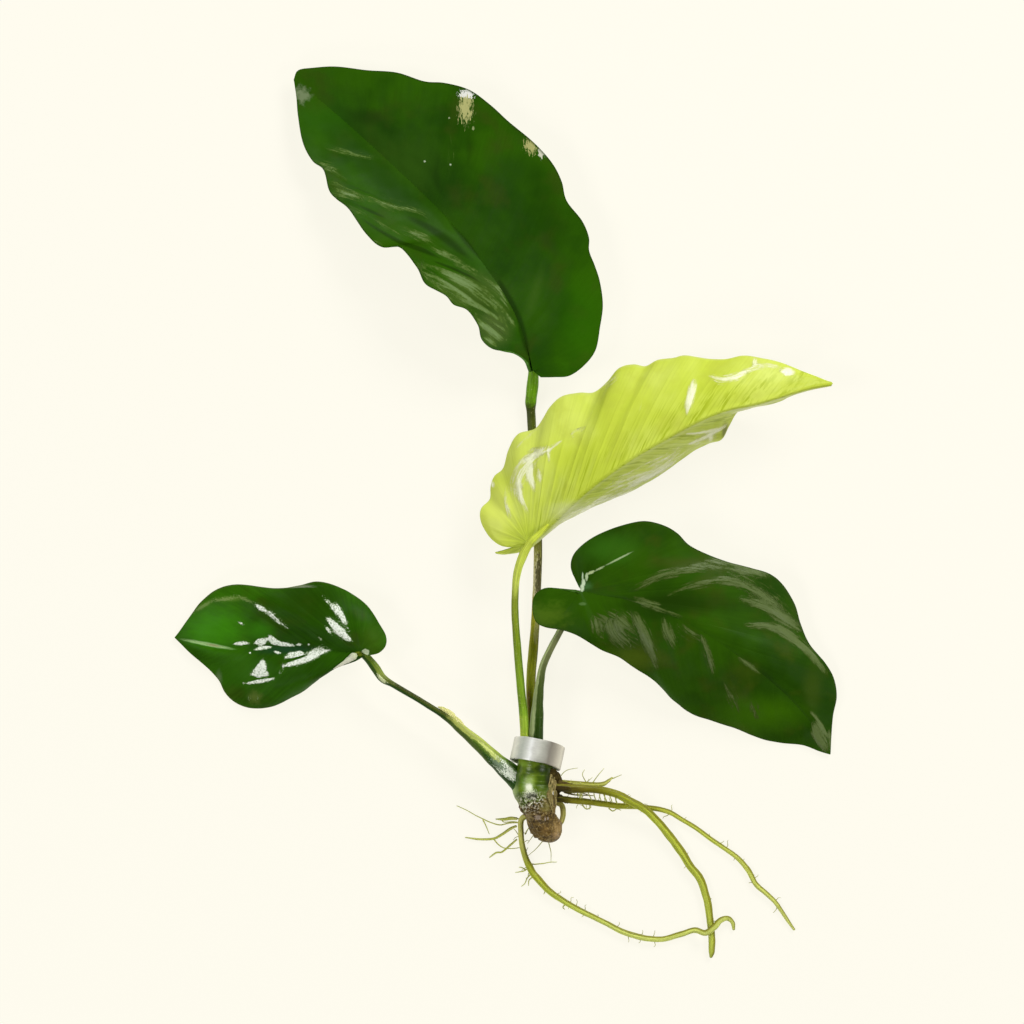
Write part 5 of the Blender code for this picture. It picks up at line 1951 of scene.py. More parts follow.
# In the leaf skins, damp is the painted sheen and wet the painted highlight of the streaks.
TALL_SKIN = LeafFinish(
    "tall_leaf_skin", Slot.DARK_LEAF, deep=(0.014, 0.06, 0.001), fresh=(0.027, 0.10, 0.001),
    vein=(0.03, 0.10, 0.003), under=(0.06, 0.16, 0.02), rim=(0.02, 0.05, 0.004), faint_glint=(0.08, 0.145, 0.02),
    wet_glint=(0.17, 0.26, 0.088), vein_strength=0.05, fine_strength=0.03, roughness=(0.4, 0.5), gloss=0.03,
    wet_gloss=0.1, glint_paleness=0.95, wet_roughness=0.3, wrinkle=0.5, strands=1.6, speckle=0.3, sheen=0.7,
    brown=(0.036, 0.068, 0.004), brown_strength=0.6, grain=0.08,
    patches=(
        Patch((25, 62), (12, 22), (0.026, 0.12, 0.001), 0.6, 0.4, (12, 12)),
        Patch((10, 68), (9, 16), (0.033, 0.115, 0.001), 0.6, 0.4, (12, 12)),
        Patch((-60, 130), (14, 12), (0.022, 0.1, 0.002), 0.6, 0.4, (12, 12)),
        Patch((-30, 116), (14, 15), (0.032, 0.1, 0.004), 0.75, 0.6, (4, 12)),
        Patch((9.6, 72.5), (2.8, 13), (0.045, 0.12, 0.006), 0.7, 0.5, (2, 8), 1, -17),
        # Next four, along the midrib: painted shade on its left, painted light on its right (the third).
        Patch((-45.5, 115), (27, 6), (0.016, 0.06, 0.002), 0.8, 0.4, (8, 8), 1, -43),
        Patch((-18, 88), (17, 5), (0.016, 0.06, 0.002), 0.8, 0.4, (8, 8), 1, -49),
        Patch((-38, 119), (28, 5), (0.032, 0.098, 0.004), 0.6, 0.4, (8, 8), 1, -43),
        Patch((-31, 100), (15, 5), (0.01, 0.045, 0.001), 0.6, 0.4, (8, 8), 1, -48),
        Patch((-46, 130), (9, 4), (0.011, 0.045, 0.001), 0.6, 0.6, (8, 8)),
        Patch((15, 98), (9, 26), (0.012, 0.048, 0.001), 0.55, 0.5, (10, 14), 1, 20),
        Patch((3, 112), (12, 10), (0.011, 0.052, 0.001), 0.6, 0.6, (8, 8)),
        Patch((-30, 92), (36, 14), (0.03, 0.10, 0.002), 0.6, 0.5, (14, 14)),
        # Next two: painted sheen on the lower left half.
        Patch((-12, 72), (18, 10), (0.07, 0.12, 0.018), 0.6, 0.5, (14, 10)),
        Patch((-4, 61), (9, 9), (0.1, 0.15, 0.035), 0.6, 0.5, (10, 10)),
        Patch((-13, 137.5), (2.8, 1.6), (0.78, 0.78, 0.72), 1.0, 3.4, (0.8, 0.9), 0.3),
        Patch((-13.3, 132.7), (2.4, 4.8), (0.42, 0.42, 0.16), 1.0, 4.4, (0.5, 2.4), 0.4),
        Patch((8.3, 120.7), (2.4, 2.8), (0.42, 0.42, 0.15), 1.0, 4.4, (0.6, 1.6), 0.4),
        Patch((11.6, 118.6), (1.2, 2.2), (0.62, 0.62, 0.48), 1.0, 3.0, (0.6, 1.8), 0.3),
        Patch((-67.3, 137.5), (3.6, 3.8), (0.2, 0.25, 0.13), 0.75, 2.2, (2.0, 2.0), 0.8),
        Patch((-10.8, 126.3), (0.5, 0.9), (0.3, 0.35, 0.15), 0.9, 1.5, (1.0, 1.0), 0.5),
        Patch((-26.8, 115.6), (0.45, 0.45), (0.5, 0.6, 0.4), 1.0, 0.6, (1.0, 1.0), 0.6),
        Patch((-18.3, 114.5), (0.45, 0.45), (0.5, 0.6, 0.4), 1.0, 0.6, (1.0, 1.0), 0.6),
        Patch((-18.7, 129.8), (0.4, 0.4), (0.3, 0.35, 0.2), 1.0, 0.6, (1.0, 1.0), 0.6),
    ),
)
YOUNG_SKIN = LeafFinish(
    "young_leaf_skin", Slot.YOUNG_LEAF, deep=(0.57, 0.68, 0.06), fresh=(0.65, 0.75, 0.12),
    vein=(0.34, 0.42, 0.015), under=(0.56, 0.66, 0.075), rim=(0.6, 0.68, 0.16), faint_glint=(0.68, 0.73, 0.24),
    wet_glint=(0.95, 0.97, 0.68), vein_strength=0.3, fine_strength=0.16, roughness=(0.3, 0.42), gloss=0.1,
    wet_gloss=0.4, glint_paleness=0.85, wet_roughness=0.16, wrinkle=0.8, strands=2.0, speckle=0.4, sparkle=0.4,
    sheen=0.72, brown=(0.5, 0.56, 0.06), brown_strength=0.5, grain=0.07, pocket=(0.33, 0.42, 0.006),
    pocket_strength=0.95, pocket_reach=15.0,
    patches=(
        # Paler lobe, partly its own colour and partly painted light where it faces away from the lamps.
        Patch((-3, -1), (10, 15), (0.76, 0.85, 0.15), 0.8, 0.4, (12, 12)),
        Patch((72.3, 26.3), (1.7, 4.2), (0.2, 0.22, 0.035), 0.9, 0.9, (3.0, 3.0), 0.7),
        # Paler far edge: painted reflection of the pale surroundings at a grazing angle.
        Patch((24, 0), (14, 5), (0.74, 0.76, 0.46), 0.5, 0.5, (8, 4)),
        Patch((100, 41), (12, 6), (0.5, 0.59, 0.045), 0.7, 0.4, (10, 10)),
    ),
)
RIGHT_SKIN = LeafFinish(
    "right_leaf_skin", Slot.DARK_LEAF, deep=(0.014, 0.05, 0.001), fresh=(0.026, 0.086, 0.001),
    vein=(0.04, 0.10, 0.004), under=(0.06, 0.15, 0.02), rim=(0.03, 0.06, 0.008), faint_glint=(0.05, 0.085, 0.011),
    wet_glint=(0.118, 0.165, 0.05), vein_strength=0.08, fine_strength=0.04, roughness=(0.38, 0.48), gloss=0.035,
    wet_gloss=0.12, glint_paleness=0.85, wet_roughness=0.3, wrinkle=0.4, strands=2.4, speckle=0.3, sheen=0.7,
    brown=(0.04, 0.068, 0.003), brown_strength=0.7, grain=0.1,
    patches=(
        Patch((42, -48), (14, 6), (0.075, 0.125, 0.006), 0.85, 0.8, (6, 6)),
        Patch((84, -67), (22, 9), (0.044, 0.135, 0.001), 0.85, 0.4, (12, 12)),
        Patch((58, -30), (30, 6), (0.012, 0.036, 0.001), 0.8, 0.5, (12, 8)),
        Patch((34, -12), (14, 8), (0.036, 0.135, 0.006), 0.8, 0.4, (12, 12)),
        Patch((13, -34), (11, 6), (0.08, 0.155, 0.009), 0.75, 1.6, (5, 3), 0.9),
        Patch((101, -58), (5, 11), (0.036, 0.072, 0.003), 0.8, 0.5, (6, 12)),
        Patch((78, -52), (9, 6), (0.04, 0.066, 0.004), 0.5, 0.9, (6, 6)),
        Patch((60, -17), (20, 3.4), (0.045, 0.07, 0.005), 0.7, 0.8, (8, 3)),
        # Next eight: painted sheen by the notch, then the notch's painted highlight in seven pieces.
        Patch((26, -24.2), (3.4, 2.2), (0.06, 0.15, 0.04), 0.8, 0.6, (2, 2)),
        Patch((25.0, -25), (0.9, 1.5), (0.72, 0.86, 0.58), 0.95, 0.7, (0.6, 0.6), 0.5),
        Patch((25.5, -23.2), (0.8, 1.5), (0.72, 0.86, 0.58), 0.95, 0.7, (0.6, 0.6), 0.5),
        Patch((25.2, -21.2), (0.35, 1.7), (0.6, 0.76, 0.48), 0.9, 0.6, (0.4, 0.8), 0.5),
        Patch((26.5, -21.3), (0.6, 1.6), (0.56, 0.7, 0.4), 0.9, 0.8, (0.4, 0.8), 0.5),
        Patch((27.9, -19.9), (1.7, 0.6), (0.5, 0.6, 0.3), 0.9, 1.6, (0.5, 0.4), 0.5, 22),
        Patch((30.8, -18.6), (2.0, 0.4), (0.45, 0.55, 0.28), 0.8, 2.4, (0.4, 0.3), 0.5, 26),
        Patch((37, -15.4), (6.2, 0.42), (0.4, 0.52, 0.26), 0.8, 0.7, (1.2, 0.4), 0.6, 27),
        Patch((25.2, -30.2), (1.6, 0.7), (0.1, 0.19, 0.05), 0.7, 0.8, (0.8, 0.4), 0.6),
    ),
)
LEFT_SKIN = LeafFinish(
    "left_leaf_skin", Slot.DARK_LEAF, deep=(0.017, 0.068, 0.001), fresh=(0.03, 0.118, 0.002),
    vein=(0.04, 0.12, 0.005), under=(0.33, 0.42, 0.16), rim=(0.07, 0.11, 0.02), faint_glint=(0.2, 0.3, 0.12),
    wet_glint=(0.95, 1.0, 0.88), vein_strength=0.08, fine_strength=0.05, roughness=(0.36, 0.46), gloss=0.035,
    wet_gloss=0.5, glint_paleness=0.95, wet_roughness=0.14, wrinkle=0.9, strands=0.8, speckle=0.5, sparkle=0.5,
    fray=0.85, sheen=0.2, brown=(0.035, 0.068, 0.003), brown_strength=0.6, grain=0.26,
    patches=(
        Patch((-96, -38.5), (16, 10), (0.048, 0.24, 0.003), 0.9, 0.6, (8, 3)),
        Patch((-88, -52), (15, 9), (0.032, 0.13, 0.003), 0.7, 0.4, (8, 8)),
        Patch((-81, -39), (7, 5), (0.036, 0.18, 0.003), 0.8, 0.5, (5, 3)),
        Patch((-66, -30), (16, 9), (0.016, 0.05, 0.001), 0.6, 0.4, (12, 12)),
        Patch((-44, -42), (6, 8), (0.05, 0.115, 0.006), 0.6, 0.4, (6, 6)),
        Patch((-72, -45.4), (17, 2.4), (0.012, 0.045, 0.018), 0.8, 0.6, (8, 3)),
        Patch((-46.3, -46.2), (1.5, 1.3), (0.5, 0.58, 0.36), 0.95, 0.6, (1, 1), 0.3),
        Patch((-48.4, -46.7), (1.9, 0.9), (0.15, 0.2, 0.012), 0.95, 0.6, (1, 1), 0.3),
        Patch((-99.6, -30.8), (5, 1.3), (0.1, 0.2, 0.02), 0.6, 1.0, (1, 0.6), 0.8, 32),
        Patch((-91, -28.6), (7, 1.4), (0.1, 0.2, 0.02), 0.6, 1.0, (1, 0.6), 0.8, 2),
        Patch((-99.8, -31), (4.6, 0.6), (0.26, 0.36, 0.12), 0.4, 5.0, (0.6, 0.4), 0.6, 32),
        Patch((-92.6, -28.7), (4.6, 0.7), (0.3, 0.38, 0.13), 0.42, 5.0, (0.6, 0.4), 0.6, 8),
        Patch((-86, -28.8), (3.4, 0.6), (0.28, 0.36, 0.12), 0.4, 5.0, (0.6, 0.4), 0.6, -24),
        Patch((-98.4, -43.6), (10.5, 0.8), (0.36, 0.55, 0.22), 0.85, 0.7, (3, 0.6), 0.6, -10.5),
        Patch((-96.4, -44), (3, 0.45), (0.3, 0.28, 0.13), 0.8, 0.8, (1, 0.5), 0.6, -10.5),
        Patch((-70.8, -24.4), (10, 0.8), (0.42, 0.45, 0.32), 0.7, 1.2, (3, 0.6)),
        Patch((-94.8, -55), (1.6, 4), (0.16, 0.22, 0.1), 0.6, 0.8, (1.5, 3)),
        Patch((-82.8, -61.2), (3.4, 3.2), (0.095, 0.15, 0.02), 0.9, 1.4, (1.5, 1.5)),
    ),
)

CROWN_SKIN = CrownFinish(
    "crown_skin", Slot.RHIZOME,
    patches=(
        Patch((3.4, -87.5), (1.8, 5.5), (0.035, 0.1, 0.004), 0.8, 0.5, (3, 5)),
        Patch((5.4, -89.5), (1.2, 4.8), (0.15, 0.3, 0.014), 0.75, 0.6, (1, 4)),
        Patch((5.8, -83), (2.0, 1.4), (0.26, 0.42, 0.035), 0.8, 0.8, (1, 2)),
        Patch((11.5, -84.6), (4.6, 2.4), (0.022, 0.045, 0.002), 0.85, 1.2, (1.2, 1.2)),
        # Painted glow of light on the stem's top, round the highlight further down.
        Patch((8.2, -88.2), (2.8, 3.0), (0.28, 0.42, 0.03), 0.85, 0.6, (2.5, 1.2)),
        Patch((13.9, -88.5), (1.9, 5), (0.016, 0.026, 0.002), 0.9, 0.6, (1.5, 2)),
        Patch((12.4, -93), (2.6, 1.8), (0.18, 0.26, 0.016), 0.75, 0.8, (2, 1.5)),
        Patch((2.8, -92), (1.6, 3.0), (0.34, 0.48, 0.12), 0.7, 0.8, (1, 3)),
        # Next three: a painted glow round a white painted highlight, broken up at its lower end.
        Patch((7.4, -89.6), (2.6, 3.6), (0.44, 0.6, 0.2), 0.75, 0.5, (1.5, 1.5), 0.9),
        Patch((7.6, -90.6), (1.6, 2.0), (0.95, 1.0, 0.74), 1.0, 0.8, (0.7, 0.7), 0.7),
        Patch((7.9, -93), (2.2, 1.9), (0.88, 0.94, 0.64), 0.95, 4.0, (0.35, 0.35), 0.3),
        Patch((8.4, -93.4), (2.4, 1.2), (0.02, 0.03, 0.004), 0.85, 5.0, (0.4, 0.4), 0.3),
        Patch((13, -97), (3.2, 2.6), (0.27, 0.24, 0.045), 0.8, 1.8, (1.6, 0.3)),
        Patch((13, -105), (3, 2.6), (0.26, 0.15, 0.03), 0.7, 1.8, (0.6, 0.6)),
        Patch((17, -104), (2.2, 3.6), (0.46, 0.3, 0.1), 0.75, 1.8, (0.5, 0.5)),
        Patch((7.6, -100.2), (1.7, 2.4), (0.36, 0.28, 0.11), 0.6, 1.8, (0.7, 0.7)),
        Patch((11.4, -101.9), (4.4, 0.9), (0.035, 0.02, 0.005), 0.85, 1.4, (1, 0.6)),
        Patch((10.5, -100.6), (1.3, 1.0), (0.42, 0.33, 0.25), 0.8, 3.0, (0.4, 0.4), 0.5),
        Patch((12.9, -101), (0.3, 1.0), (0.5, 0.42, 0.34), 0.8, 1.2, (0.6, 0.6), 0.5),
        Patch((13.8, -100.8), (0.25, 0.8), (0.5, 0.42, 0.34), 0.8, 1.2, (0.6, 0.6), 0.5),
        Patch((16.4, -106.6), (2.0, 1.8), (0.55, 0.35, 0.14), 0.65, 2.2, (0.7, 0.7)),
    ),
)

STALK_SKINS = {
    "stalk_tall": StemFinish(
        "tall_stalk_skin", Slot.STALK,
        ((0.0, (0.12, 0.16, 0.01)), (0.1, (0.16, 0.2, 0.012)), (0.16, (0.24, 0.27, 0.012)),
         (0.26, (0.34, 0.36, 0.014)), (0.38, (0.38, 0.36, 0.02)), (0.46, (0.34, 0.32, 0.08)),
         (0.62, (0.3, 0.29, 0.07)), (0.84, (0.08, 0.1, 0.012)), (0.89, (0.045, 0.06, 0.008)),
         (0.915, (0.13, 0.3, 0.006)), (1.0, (0.15, 0.33, 0.008))),
        flank=(0.08, 0.08, 0.008), flank_reach=0.25, flank_until=0.85, speck=(0.45, 0.42, 0.2),
        speck_strength=0.4,
        patches=(
            Patch((17, 0.8), (8, 1.1), (0.22, 0.12, 0.008), 0.8, 1.4, (4, 0.8)),
            Patch((40, -0.5), (5, 1.0), (0.4, 0.38, 0.15), 0.7, 2.4, (2.5, 0.5), 0.4),
            Patch((56, 0.2), (10, 1.6), (0.66, 0.6, 0.34), 0.9, 3.4, (1.2, 0.35), 0.3),
            Patch((57, -0.4), (9, 1.3), (0.05, 0.04, 0.008), 0.9, 3.2, (1.4, 0.35), 0.3),
        ),
    ),
    "stalk_young": StemFinish(
        "young_stalk_skin", Slot.STALK,
        ((0.0, (0.5, 0.6, 0.05)), (0.14, (0.54, 0.63, 0.08)), (0.17, (0.17, 0.3, 0.012)),
         (0.3, (0.2, 0.34, 0.016)), (0.5, (0.2, 0.28, 0.012)), (0.64, (0.24, 0.3, 0.02)),
         (0.7, (0.58, 0.68, 0.1)), (1.0, (0.62, 0.72, 0.055))),
        flank=(0.08, 0.15, 0.004), flank_reach=0.3, flank_until=0.72,
        patches=(Patch((10, 0), (6, 2), (0.22, 0.38, 0.02), 0.8, 3.8, (0.5, 0.4), 0.3),),
    ),
    "stalk_right": StemFinish(
        "right_stalk_skin", Slot.STALK,
        ((0.0, (0.02, 0.05, 0.002)), (0.2, (0.022, 0.055, 0.002)), (0.42, (0.06, 0.09, 0.014)),
         (0.6, (0.17, 0.19, 0.07)), (1.0, (0.19, 0.21, 0.09))),
        flank=(0.4, 0.48, 0.2), flank_side=math.pi, flank_reach=0.5, speck_strength=0.1,
    ),
    "stalk_left": StemFinish(
        "left_stalk_skin", Slot.STALK,
        ((0.0, (0.16, 0.3, 0.01)), (0.1, (0.04, 0.12, 0.003)), (0.17, (0.08, 0.18, 0.008)),
         (0.24, (0.3, 0.38, 0.05)), (0.34, (0.42, 0.48, 0.1)), (0.47, (0.42, 0.46, 0.1)),
         (0.52, (0.07, 0.09, 0.008)), (0.76, (0.045, 0.06, 0.006)), (0.84, (0.22, 0.28, 0.04)),
         (0.92, (0.1, 0.17, 0.01)), (1.0, (0.24, 0.32, 0.06))),
        flank=(0.014, 0.06, 0.002), flank_side=math.pi, flank_reach=0.62, speck_strength=0.12,
        patches=(
            Patch((12, 2.6), (6, 1.2), (0.012, 0.045, 0.004), 0.9, 2.2, (1.4, 0.3), 0.3),
            # Next two: a painted highlight at the stalk's foot.
            Patch((12.5, 0.2), (7, 2.4), (0.66, 0.82, 0.5), 0.95, 1.4, (1.4, 0.4), 0.6),
            Patch((12, 0.2), (6, 2.2), (0.95, 1.0, 0.84), 0.95, 3.0, (0.8, 0.4), 0.3),
            Patch((16, 0.4), (5.5, 2.0), (0.02, 0.08, 0.006), 0.85, 3.6, (0.6, 0.4), 0.3),
            Patch((19.5, -0.6), (5, 1.1), (0.62, 0.7, 0.2), 0.9, 3.2, (0.6, 0.4), 0.3),
            Patch((22, 0.2), (6, 0.7), (0.05, 0.12, 0.004), 0.8, 2.4, (1.0, 0.4), 0.3),
            # A small painted highlight near the leaf.
            Patch((62, 0.5), (2.2, 0.7), (0.7, 0.76, 0.4), 0.9, 3.2, (0.5, 0.4), 0.3),
        ),
    ),
}
SHEATH_SKIN = FibreFinish("sheath_skin", Slot.STALK, light=(0.86, 0.82, 0.34), dark=(0.55, 0.58, 0.13))


def root_skin(name: str, *along: tuple[float, Colour], flank: Colour = (0.2, 0.19, 0.008)) -> StemFinish:
    """Makes the finish of one root.

    Args:
        name: The finish's name.
        along: The colours along it, each with its share of the length.
        flank: The colour of its darker side.

    Returns:
        The finish.
    """
    return StemFinish(
        name, Slot.ROOT, along, flank=flank, flank_side=math.pi, flank_reach=0.5, speck=(0.62, 0.62, 0.3),
        speck_strength=0.12, roughness=(0.35, 0.55), coat=0.05, grain=0.28,
    )


ROOT_SKINS = {
    "root_thick": root_skin(
        "thick_root_skin", (0.0, (0.03, 0.02, 0.003)), (0.09, (0.05, 0.035, 0.004)),
        (0.13, (0.12, 0.1, 0.005)), (0.2, (0.17, 0.16, 0.006)), (0.3, (0.34, 0.37, 0.02)),
        (0.45, (0.46, 0.52, 0.045)), (1.0, (0.46, 0.52, 0.07)),
    ),
    "root_long": root_skin(
        "long_root_skin", (0.0, (0.03, 0.02, 0.003)), (0.06, (0.06, 0.045, 0.004)), (0.1, (0.2, 0.18, 0.01)),
        (0.28, (0.4, 0.42, 0.03)), (0.6, (0.56, 0.62, 0.08)), (1.0, (0.62, 0.66, 0.17)),
    ),
    "root_hooked": root_skin(
        "hooked_root_skin", (0.0, (0.5, 0.5, 0.13)), (0.1, (0.7, 0.68, 0.18)), (0.2, (0.38, 0.42, 0.03)),
        (0.3, (0.46, 0.53, 0.05)), (0.6, (0.66, 0.73, 0.16)), (1.0, (0.56, 0.61, 0.13)),
    ),
    "root_short": root_skin(
        "short_root_skin", (0.0, (0.03, 0.02, 0.003)), (0.22, (0.09, 0.07, 0.008)), (0.36, (0.5, 0.52, 0.09)),
        (0.8, (0.54, 0.56, 0.12)), (1.0, (0.6, 0.6, 0.16)),
    ),
    "root_stub": root_skin(
        "stub_root_skin", (0.0, (0.1, 0.07, 0.01)), (0.3, (0.55, 0.5, 0.1)), (1.0, (0.72, 0.68, 0.22)),
        flank=(0.35, 0.32, 0.06),
    ),
}
FINE_ROOT_SKIN = StemFinish(
    "fine_root_skin", Slot.ROOT, ((0.0, (0.66, 0.66, 0.18)), (0.5, (0.56, 0.6, 0.1)),
                                  (1.0, (0.62, 0.66, 0.2))),
    flank=(0.36, 0.38, 0.05), speck_strength=0.1,
)
HAIR_SKIN = StemFinish(
    "root_hair_skin", Slot.ROOT, ((0.0, (0.36, 0.38, 0.05)), (1.0, (0.56, 0.57, 0.22))),
    flank=(0.36, 0.36, 0.08), speck_strength=0.1,
)
TANGLE_SKIN = StemFinish(
    "tangle_skin", Slot.ROOT, ((0.0, (0.05, 0.035, 0.004)), (0.5, (0.16, 0.14, 0.012)),
                               (1.0, (0.3, 0.28, 0.04))),
    flank=(0.06, 0.045, 0.006), speck_strength=0.1,
)
FOLD_SKIN = StemFinish(
    "folded_base_skin", Slot.DARK_LEAF, ((0.0, (0.5, 0.56, 0.3)), (0.3, (0.7, 0.7, 0.54)),
                                         (1.0, (0.62, 0.58, 0.46))),
    flank=(0.62, 0.66, 0.46), grain=0.12,
)
SHRED_SKIN = FibreFinish("shred_skin", Slot.RHIZOME, light=(0.55, 0.45, 0.17), dark=(0.1, 0.065, 0.012))
KNOT_SKIN = FibreFinish("knot_skin", Slot.RHIZOME, light=(0.1, 0.07, 0.012), dark=(0.02, 0.012, 0.002))

# ---------------------------------------------------------------- small growths

FINE_ROOTS = (
    ((7.4, -117.4, 1.0), (6.0, -118.4, 0.6), (4.4, -118.8, 0.4), (3.0, -119, 0.3)),
    ((8.2, -119.4, 0.9), (7.0, -120.8, 0.5), (6.2, -122.6, 0.4), (5.0, -123.6, 0.3)),
    ((8.8, -120.4, 0.9), (7.6, -121.6, 0.5), (7.4, -123.4, 0.3)),
    ((12.2, -123.8, 0.9), (12.8, -125.2, 0.5), (12.4, -126.2, 0.4)),
    ((19.4, -129.6, 0.8), (18.8, -130.4, 0.5), (19.4, -131.2, 0.3)),
    ((25, -96.4, 2.6), (26.5, -98, 1.4), (28, -97.4, 1.2), (27.2, -96.4, 1.6)),
    ((33.8, -97.6, 1.2), (35.2, -98.6, 0.8), (36.6, -97.9, 0.7), (38, -98.4, 0.6)),
    ((5.2, -101.6, 3.4), (2.5, -100.7, 3.6), (0.2, -100.9, 2.8), (-1.3, -101.4, 2.2), (-0.5, -102.3, 2.0),
     (2.5, -102.1, 2.4), (5.0, -102.6, 2.6)),
    ((4.6, -102.4, 2.8), (1.0, -102.6, 2.0), (-2, -103.2, 1.2), (-5.1, -102.4, 0.9), (-7.7, -101.2, 0.6),
     (-10, -100.1, 0.5), (-13, -98.4, 0.4), (-16.4, -96.9, 0.3)),
    ((-3.9, -108.1, 0.8), (-2.4, -109.8, 0.7), (-0.5, -110.9, 0.7), (2.5, -111, 0.8), (5.2, -110.6, 1.2)),
    ((-7.7, -101.4, 0.6), (-6.6, -103.7, 0.7), (-5.5, -106.4, 0.8)),
    ((5.8, -113.6, 1.1), (8.2, -116, 0.5), (11.6, -116, 0.4), (14.6, -115.5, 0.4), (16.9, -115.5, 0.3)),
    ((6.5, -118.1, 0.6), (5.2, -117.3, 0.5), (4.2, -117.2, 0.4)),
    ((6.2, -106.4, 2.0), (7.2, -104.6, 2.6), (8.6, -103.2, 3.2)),
)
LONG_HAIRS = (
    ((10.2, -104.4, 4.0), (8.9, -106.7, 2.6), (7, -109.4, 1.4)),
    ((13.0, -107.4, 4.0), (11.6, -109.2, 3.0), (9.7, -111.3, 1.8), (7.2, -113.4, 0.9)),
    ((13.9, -108.6, 3.0), (14.4, -110.6, 1.8), (14.8, -112.4, 1.0), (14.8, -115.5, 0.4)),
    ((16.6, -88.4, 6.0), (17.7, -87.4, 5.4), (19.9, -85.2, 4.4), (23.7, -84.4, 3.4)),
    ((26.8, -89.8, 4.2), (25.2, -86.7, 4.6), (26, -84.8, 4.4)),
    ((28.3, -89.6, 4.0), (30.2, -87.0, 3.8), (32.4, -84.4, 3.0)),
    ((34.9, -88.0, 3.4), (36.8, -87.2, 3.0), (38.2, -86.6, 2.4)),
    ((5.0, -108.0, 1.8), (3.4, -105.4, 1.4), (2.6, -104.6, 1.0)),
)


def shred(name: str, seed: float, *path: tuple[float, ...]) -> Member:
    """A torn strand of old sheath along a path of x, y, z and half width."""
    return Member(name, path, 60, 12, lumps=0.45, lump_size=2.0, wander=0.35, flatness=0.45, seed=seed)


def strip_fibres() -> tuple[Member, ...]:
    """Draws the strip of dry fibres that hangs down the crown's right side, over the roots' bases.

    Returns:
        The fibres.
    """
    draw = random.Random(FIBRE_SEED)
    made = []
    for index in range(14):
        lane = draw.uniform(-1, 1)  # -1 lies highest on the crown, 1 lowest
        start, end = draw.uniform(-84.6, -90.5), draw.uniform(-94, -99.2)
        path = []
        for step in range(6):
            part = step / 5
            down = start + (end - start) * part
            spread = math.sin(math.pi * min(max((-84 - down) / 16, 0.05), 0.95))
            x = 15.6 + 0.7 * math.sin(-down / 3.1) * spread + lane * 1.5 * spread + draw.uniform(-0.25, 0.25)
            height = 11.2 - 1.7 * lane - 0.17 * (-84 - down)
            path.append((x, down, height, (0.14 + 0.26 * draw.random()) * (1 - 0.6 * part)))
        made.append(shred("fibre", index, *path))
    return tuple(made)


COLLARS = (
    shred("upper", 6, (15.6, -88.6, 8.0, 0.9), (17.2, -89.5, 7.7, 1.35), (19.2, -90.0, 7.3, 1.2),
          (21.4, -90.4, 6.9, 0.95), (24.0, -90.4, 6.6, 0.4)),
    shred("lower", 7, (15.6, -93.2, 6.0, 0.9), (17.4, -94.2, 5.4, 1.3), (19.4, -94.7, 4.8, 1.2),
          (21.4, -95, 4.2, 0.8)),
    # A near-black shred under the band that stands in for the shade beneath it.
    shred("band_shadow_shred", 8, (13.2, -85.0, 12.4, 0.4), (15.0, -85.8, 11.4, 1.2), (16.4, -86.8, 9.8, 1.5),
          (17.4, -88.4, 8.2, 0.8)),
    shred("behind", 12, (14.8, -86, 6.5, 0.8), (16.4, -87.8, 6, 1.6), (16.8, -90.5, 5, 1.4),
          (16.4, -93.5, 4, 0.8)),
)
KNOTS = threads(
    (
        ((18, -91.8, 6.0), (21, -92.6, 4.8), (24, -92.5, 4.4), (27, -93.2, 3.4)),
        ((19, -92.4, 5.2), (22, -93.2, 4.0), (25, -93.4, 3.2), (29, -93.6, 2.6)),
        ((20, -90.2, 6.6), (24, -90.6, 6.0), (28, -90.6, 5.6), (32, -91.2, 4.8)),
    ),
    0.34,
    0.5,
)
SHEATH_TIP = (
    shred("sheath_tip", 9, (-22.4, -64.2, 9.2, 0.2), (-20.6, -64.9, 9.4, 0.6), (-18.2, -66.4, 9.5, 0.8),
          (-16, -68.2, 9.6, 0.7), (-13.6, -70.4, 9.6, 0.3)),
)
FOLDED_BASE = (
    Member(
        "folded_base", ((-49, -46.9, 12.2, 0.7), (-50.2, -47.5, 12.3, 1.25), (-51.6, -48.5, 12.2, 1.0),
                        (-53.8, -49.9, 12.0, 0.55), (-56.8, -51.7, 11.6, 0.15)),
        rings=80, segments=16, lumps=0.1, lump_size=3.0, flatness=0.35,
    ),
)

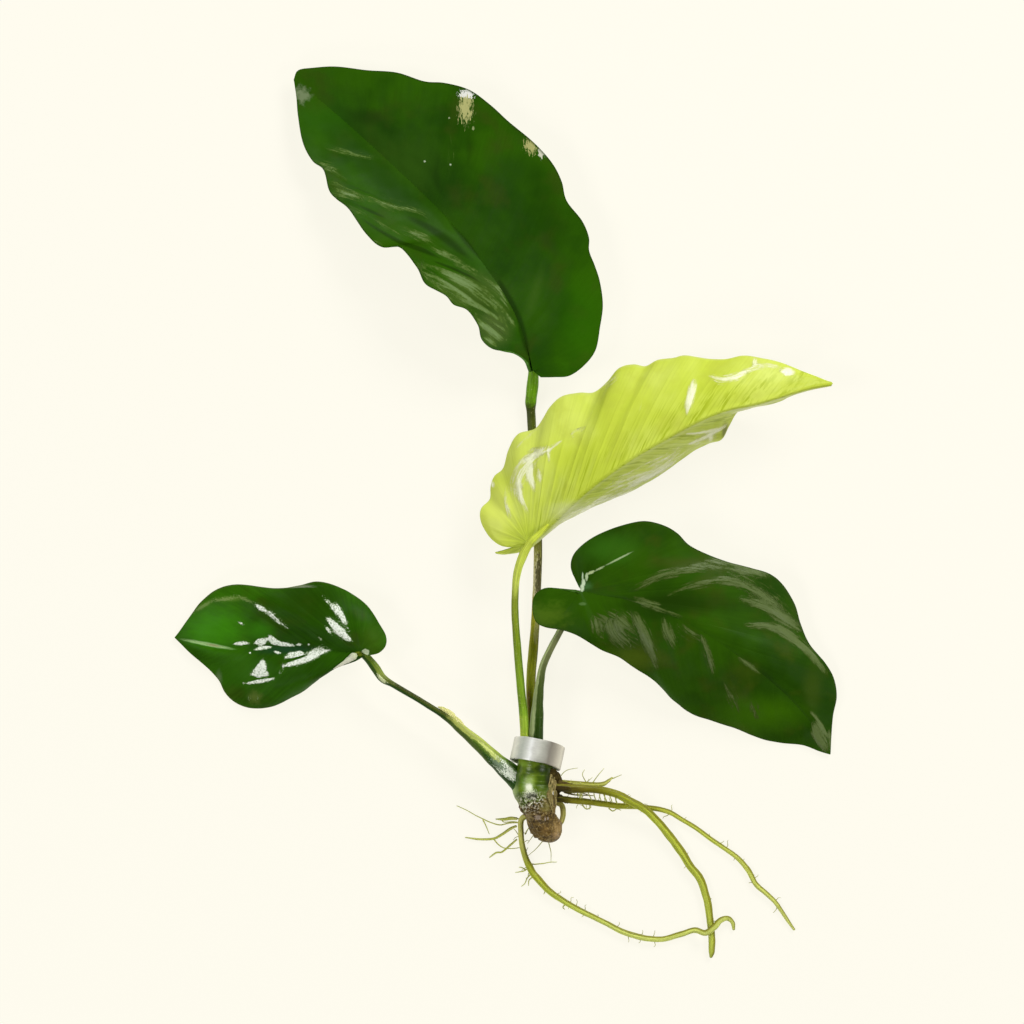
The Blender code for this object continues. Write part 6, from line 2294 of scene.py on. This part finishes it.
SOFTBOXES = (
    Softbox("key_light", 57.0, 55.0, (1.0, 0.55), 28.0),
    Softbox("left_light", 42.0, 186.0, (0.6, 0.6), 11.0),
    Softbox("near_light", 50.0, 250.0, (0.5, 0.5), 7.0),
    Softbox("right_light", 48.0, -10.0, (0.6, 0.6), 7.0),
)


def main() -> None:
    """Builds the plant and the studio."""
    logging.basicConfig(level=logging.INFO, format="%(name)s: %(message)s")
    for leaf, finish in (
        (TALL_LEAF, TALL_SKIN), (YOUNG_LEAF, YOUNG_SKIN), (RIGHT_LEAF, RIGHT_SKIN), (LEFT_LEAF, LEFT_SKIN),
    ):
        Blade(leaf, finish).build()
    crown = Crown("rhizome", RHIZOME, rings=160, segments=96, wander=0.3)
    Bundle("rhizome", (crown,), CROWN_SKIN, ("rhizome",)).build()
    WeightBand().build()
    for index, (name, path) in enumerate(STALKS.items()):
        stalk = Member(name, path, rings=240, segments=32, channel=0.08, seed=index)
        Bundle(name, (stalk,), STALK_SKINS[name], (name,)).build()
    for index, (name, path) in enumerate(ROOTS.items()):
        fine = name.startswith("rootlet")
        rings, segments = (40, 12) if fine else (260, 20)
        root = Member(name, path, rings, segments, lumps=0.12, lump_size=4.0, wander=0.25, seed=index + 10)
        Bundle(name, (root,), FINE_ROOT_SKIN if fine else ROOT_SKINS[name], (name,)).build()
    Bundle("fine_roots", threads(FINE_ROOTS, 0.27, 0.5), FINE_ROOT_SKIN).build()
    hairs = RootHairs(ROOTS, {"root_thick": 26, "root_long": 26, "root_hooked": 20, "root_short": 10})
    Bundle("root_hairs", hairs.members() + threads(LONG_HAIRS, 0.2, 0.5), HAIR_SKIN).build()
    Bundle("root_rungs", hairs.rungs("root_thick", "root_long", 12), FINE_ROOT_SKIN).build()
    Bundle("root_tangle", KNOTS, TANGLE_SKIN).build()
    Bundle("sheath_tip", SHEATH_TIP, SHEATH_SKIN).build()
    Bundle("folded_base", FOLDED_BASE, FOLD_SKIN).build()
    Bundle("crown_shreds", strip_fibres(), SHRED_SKIN).build()
    Bundle("root_collars", COLLARS, KNOT_SKIN).build()
    Studio(lights=SOFTBOXES).build()
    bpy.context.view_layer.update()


if __name__ == "__main__":
    main()
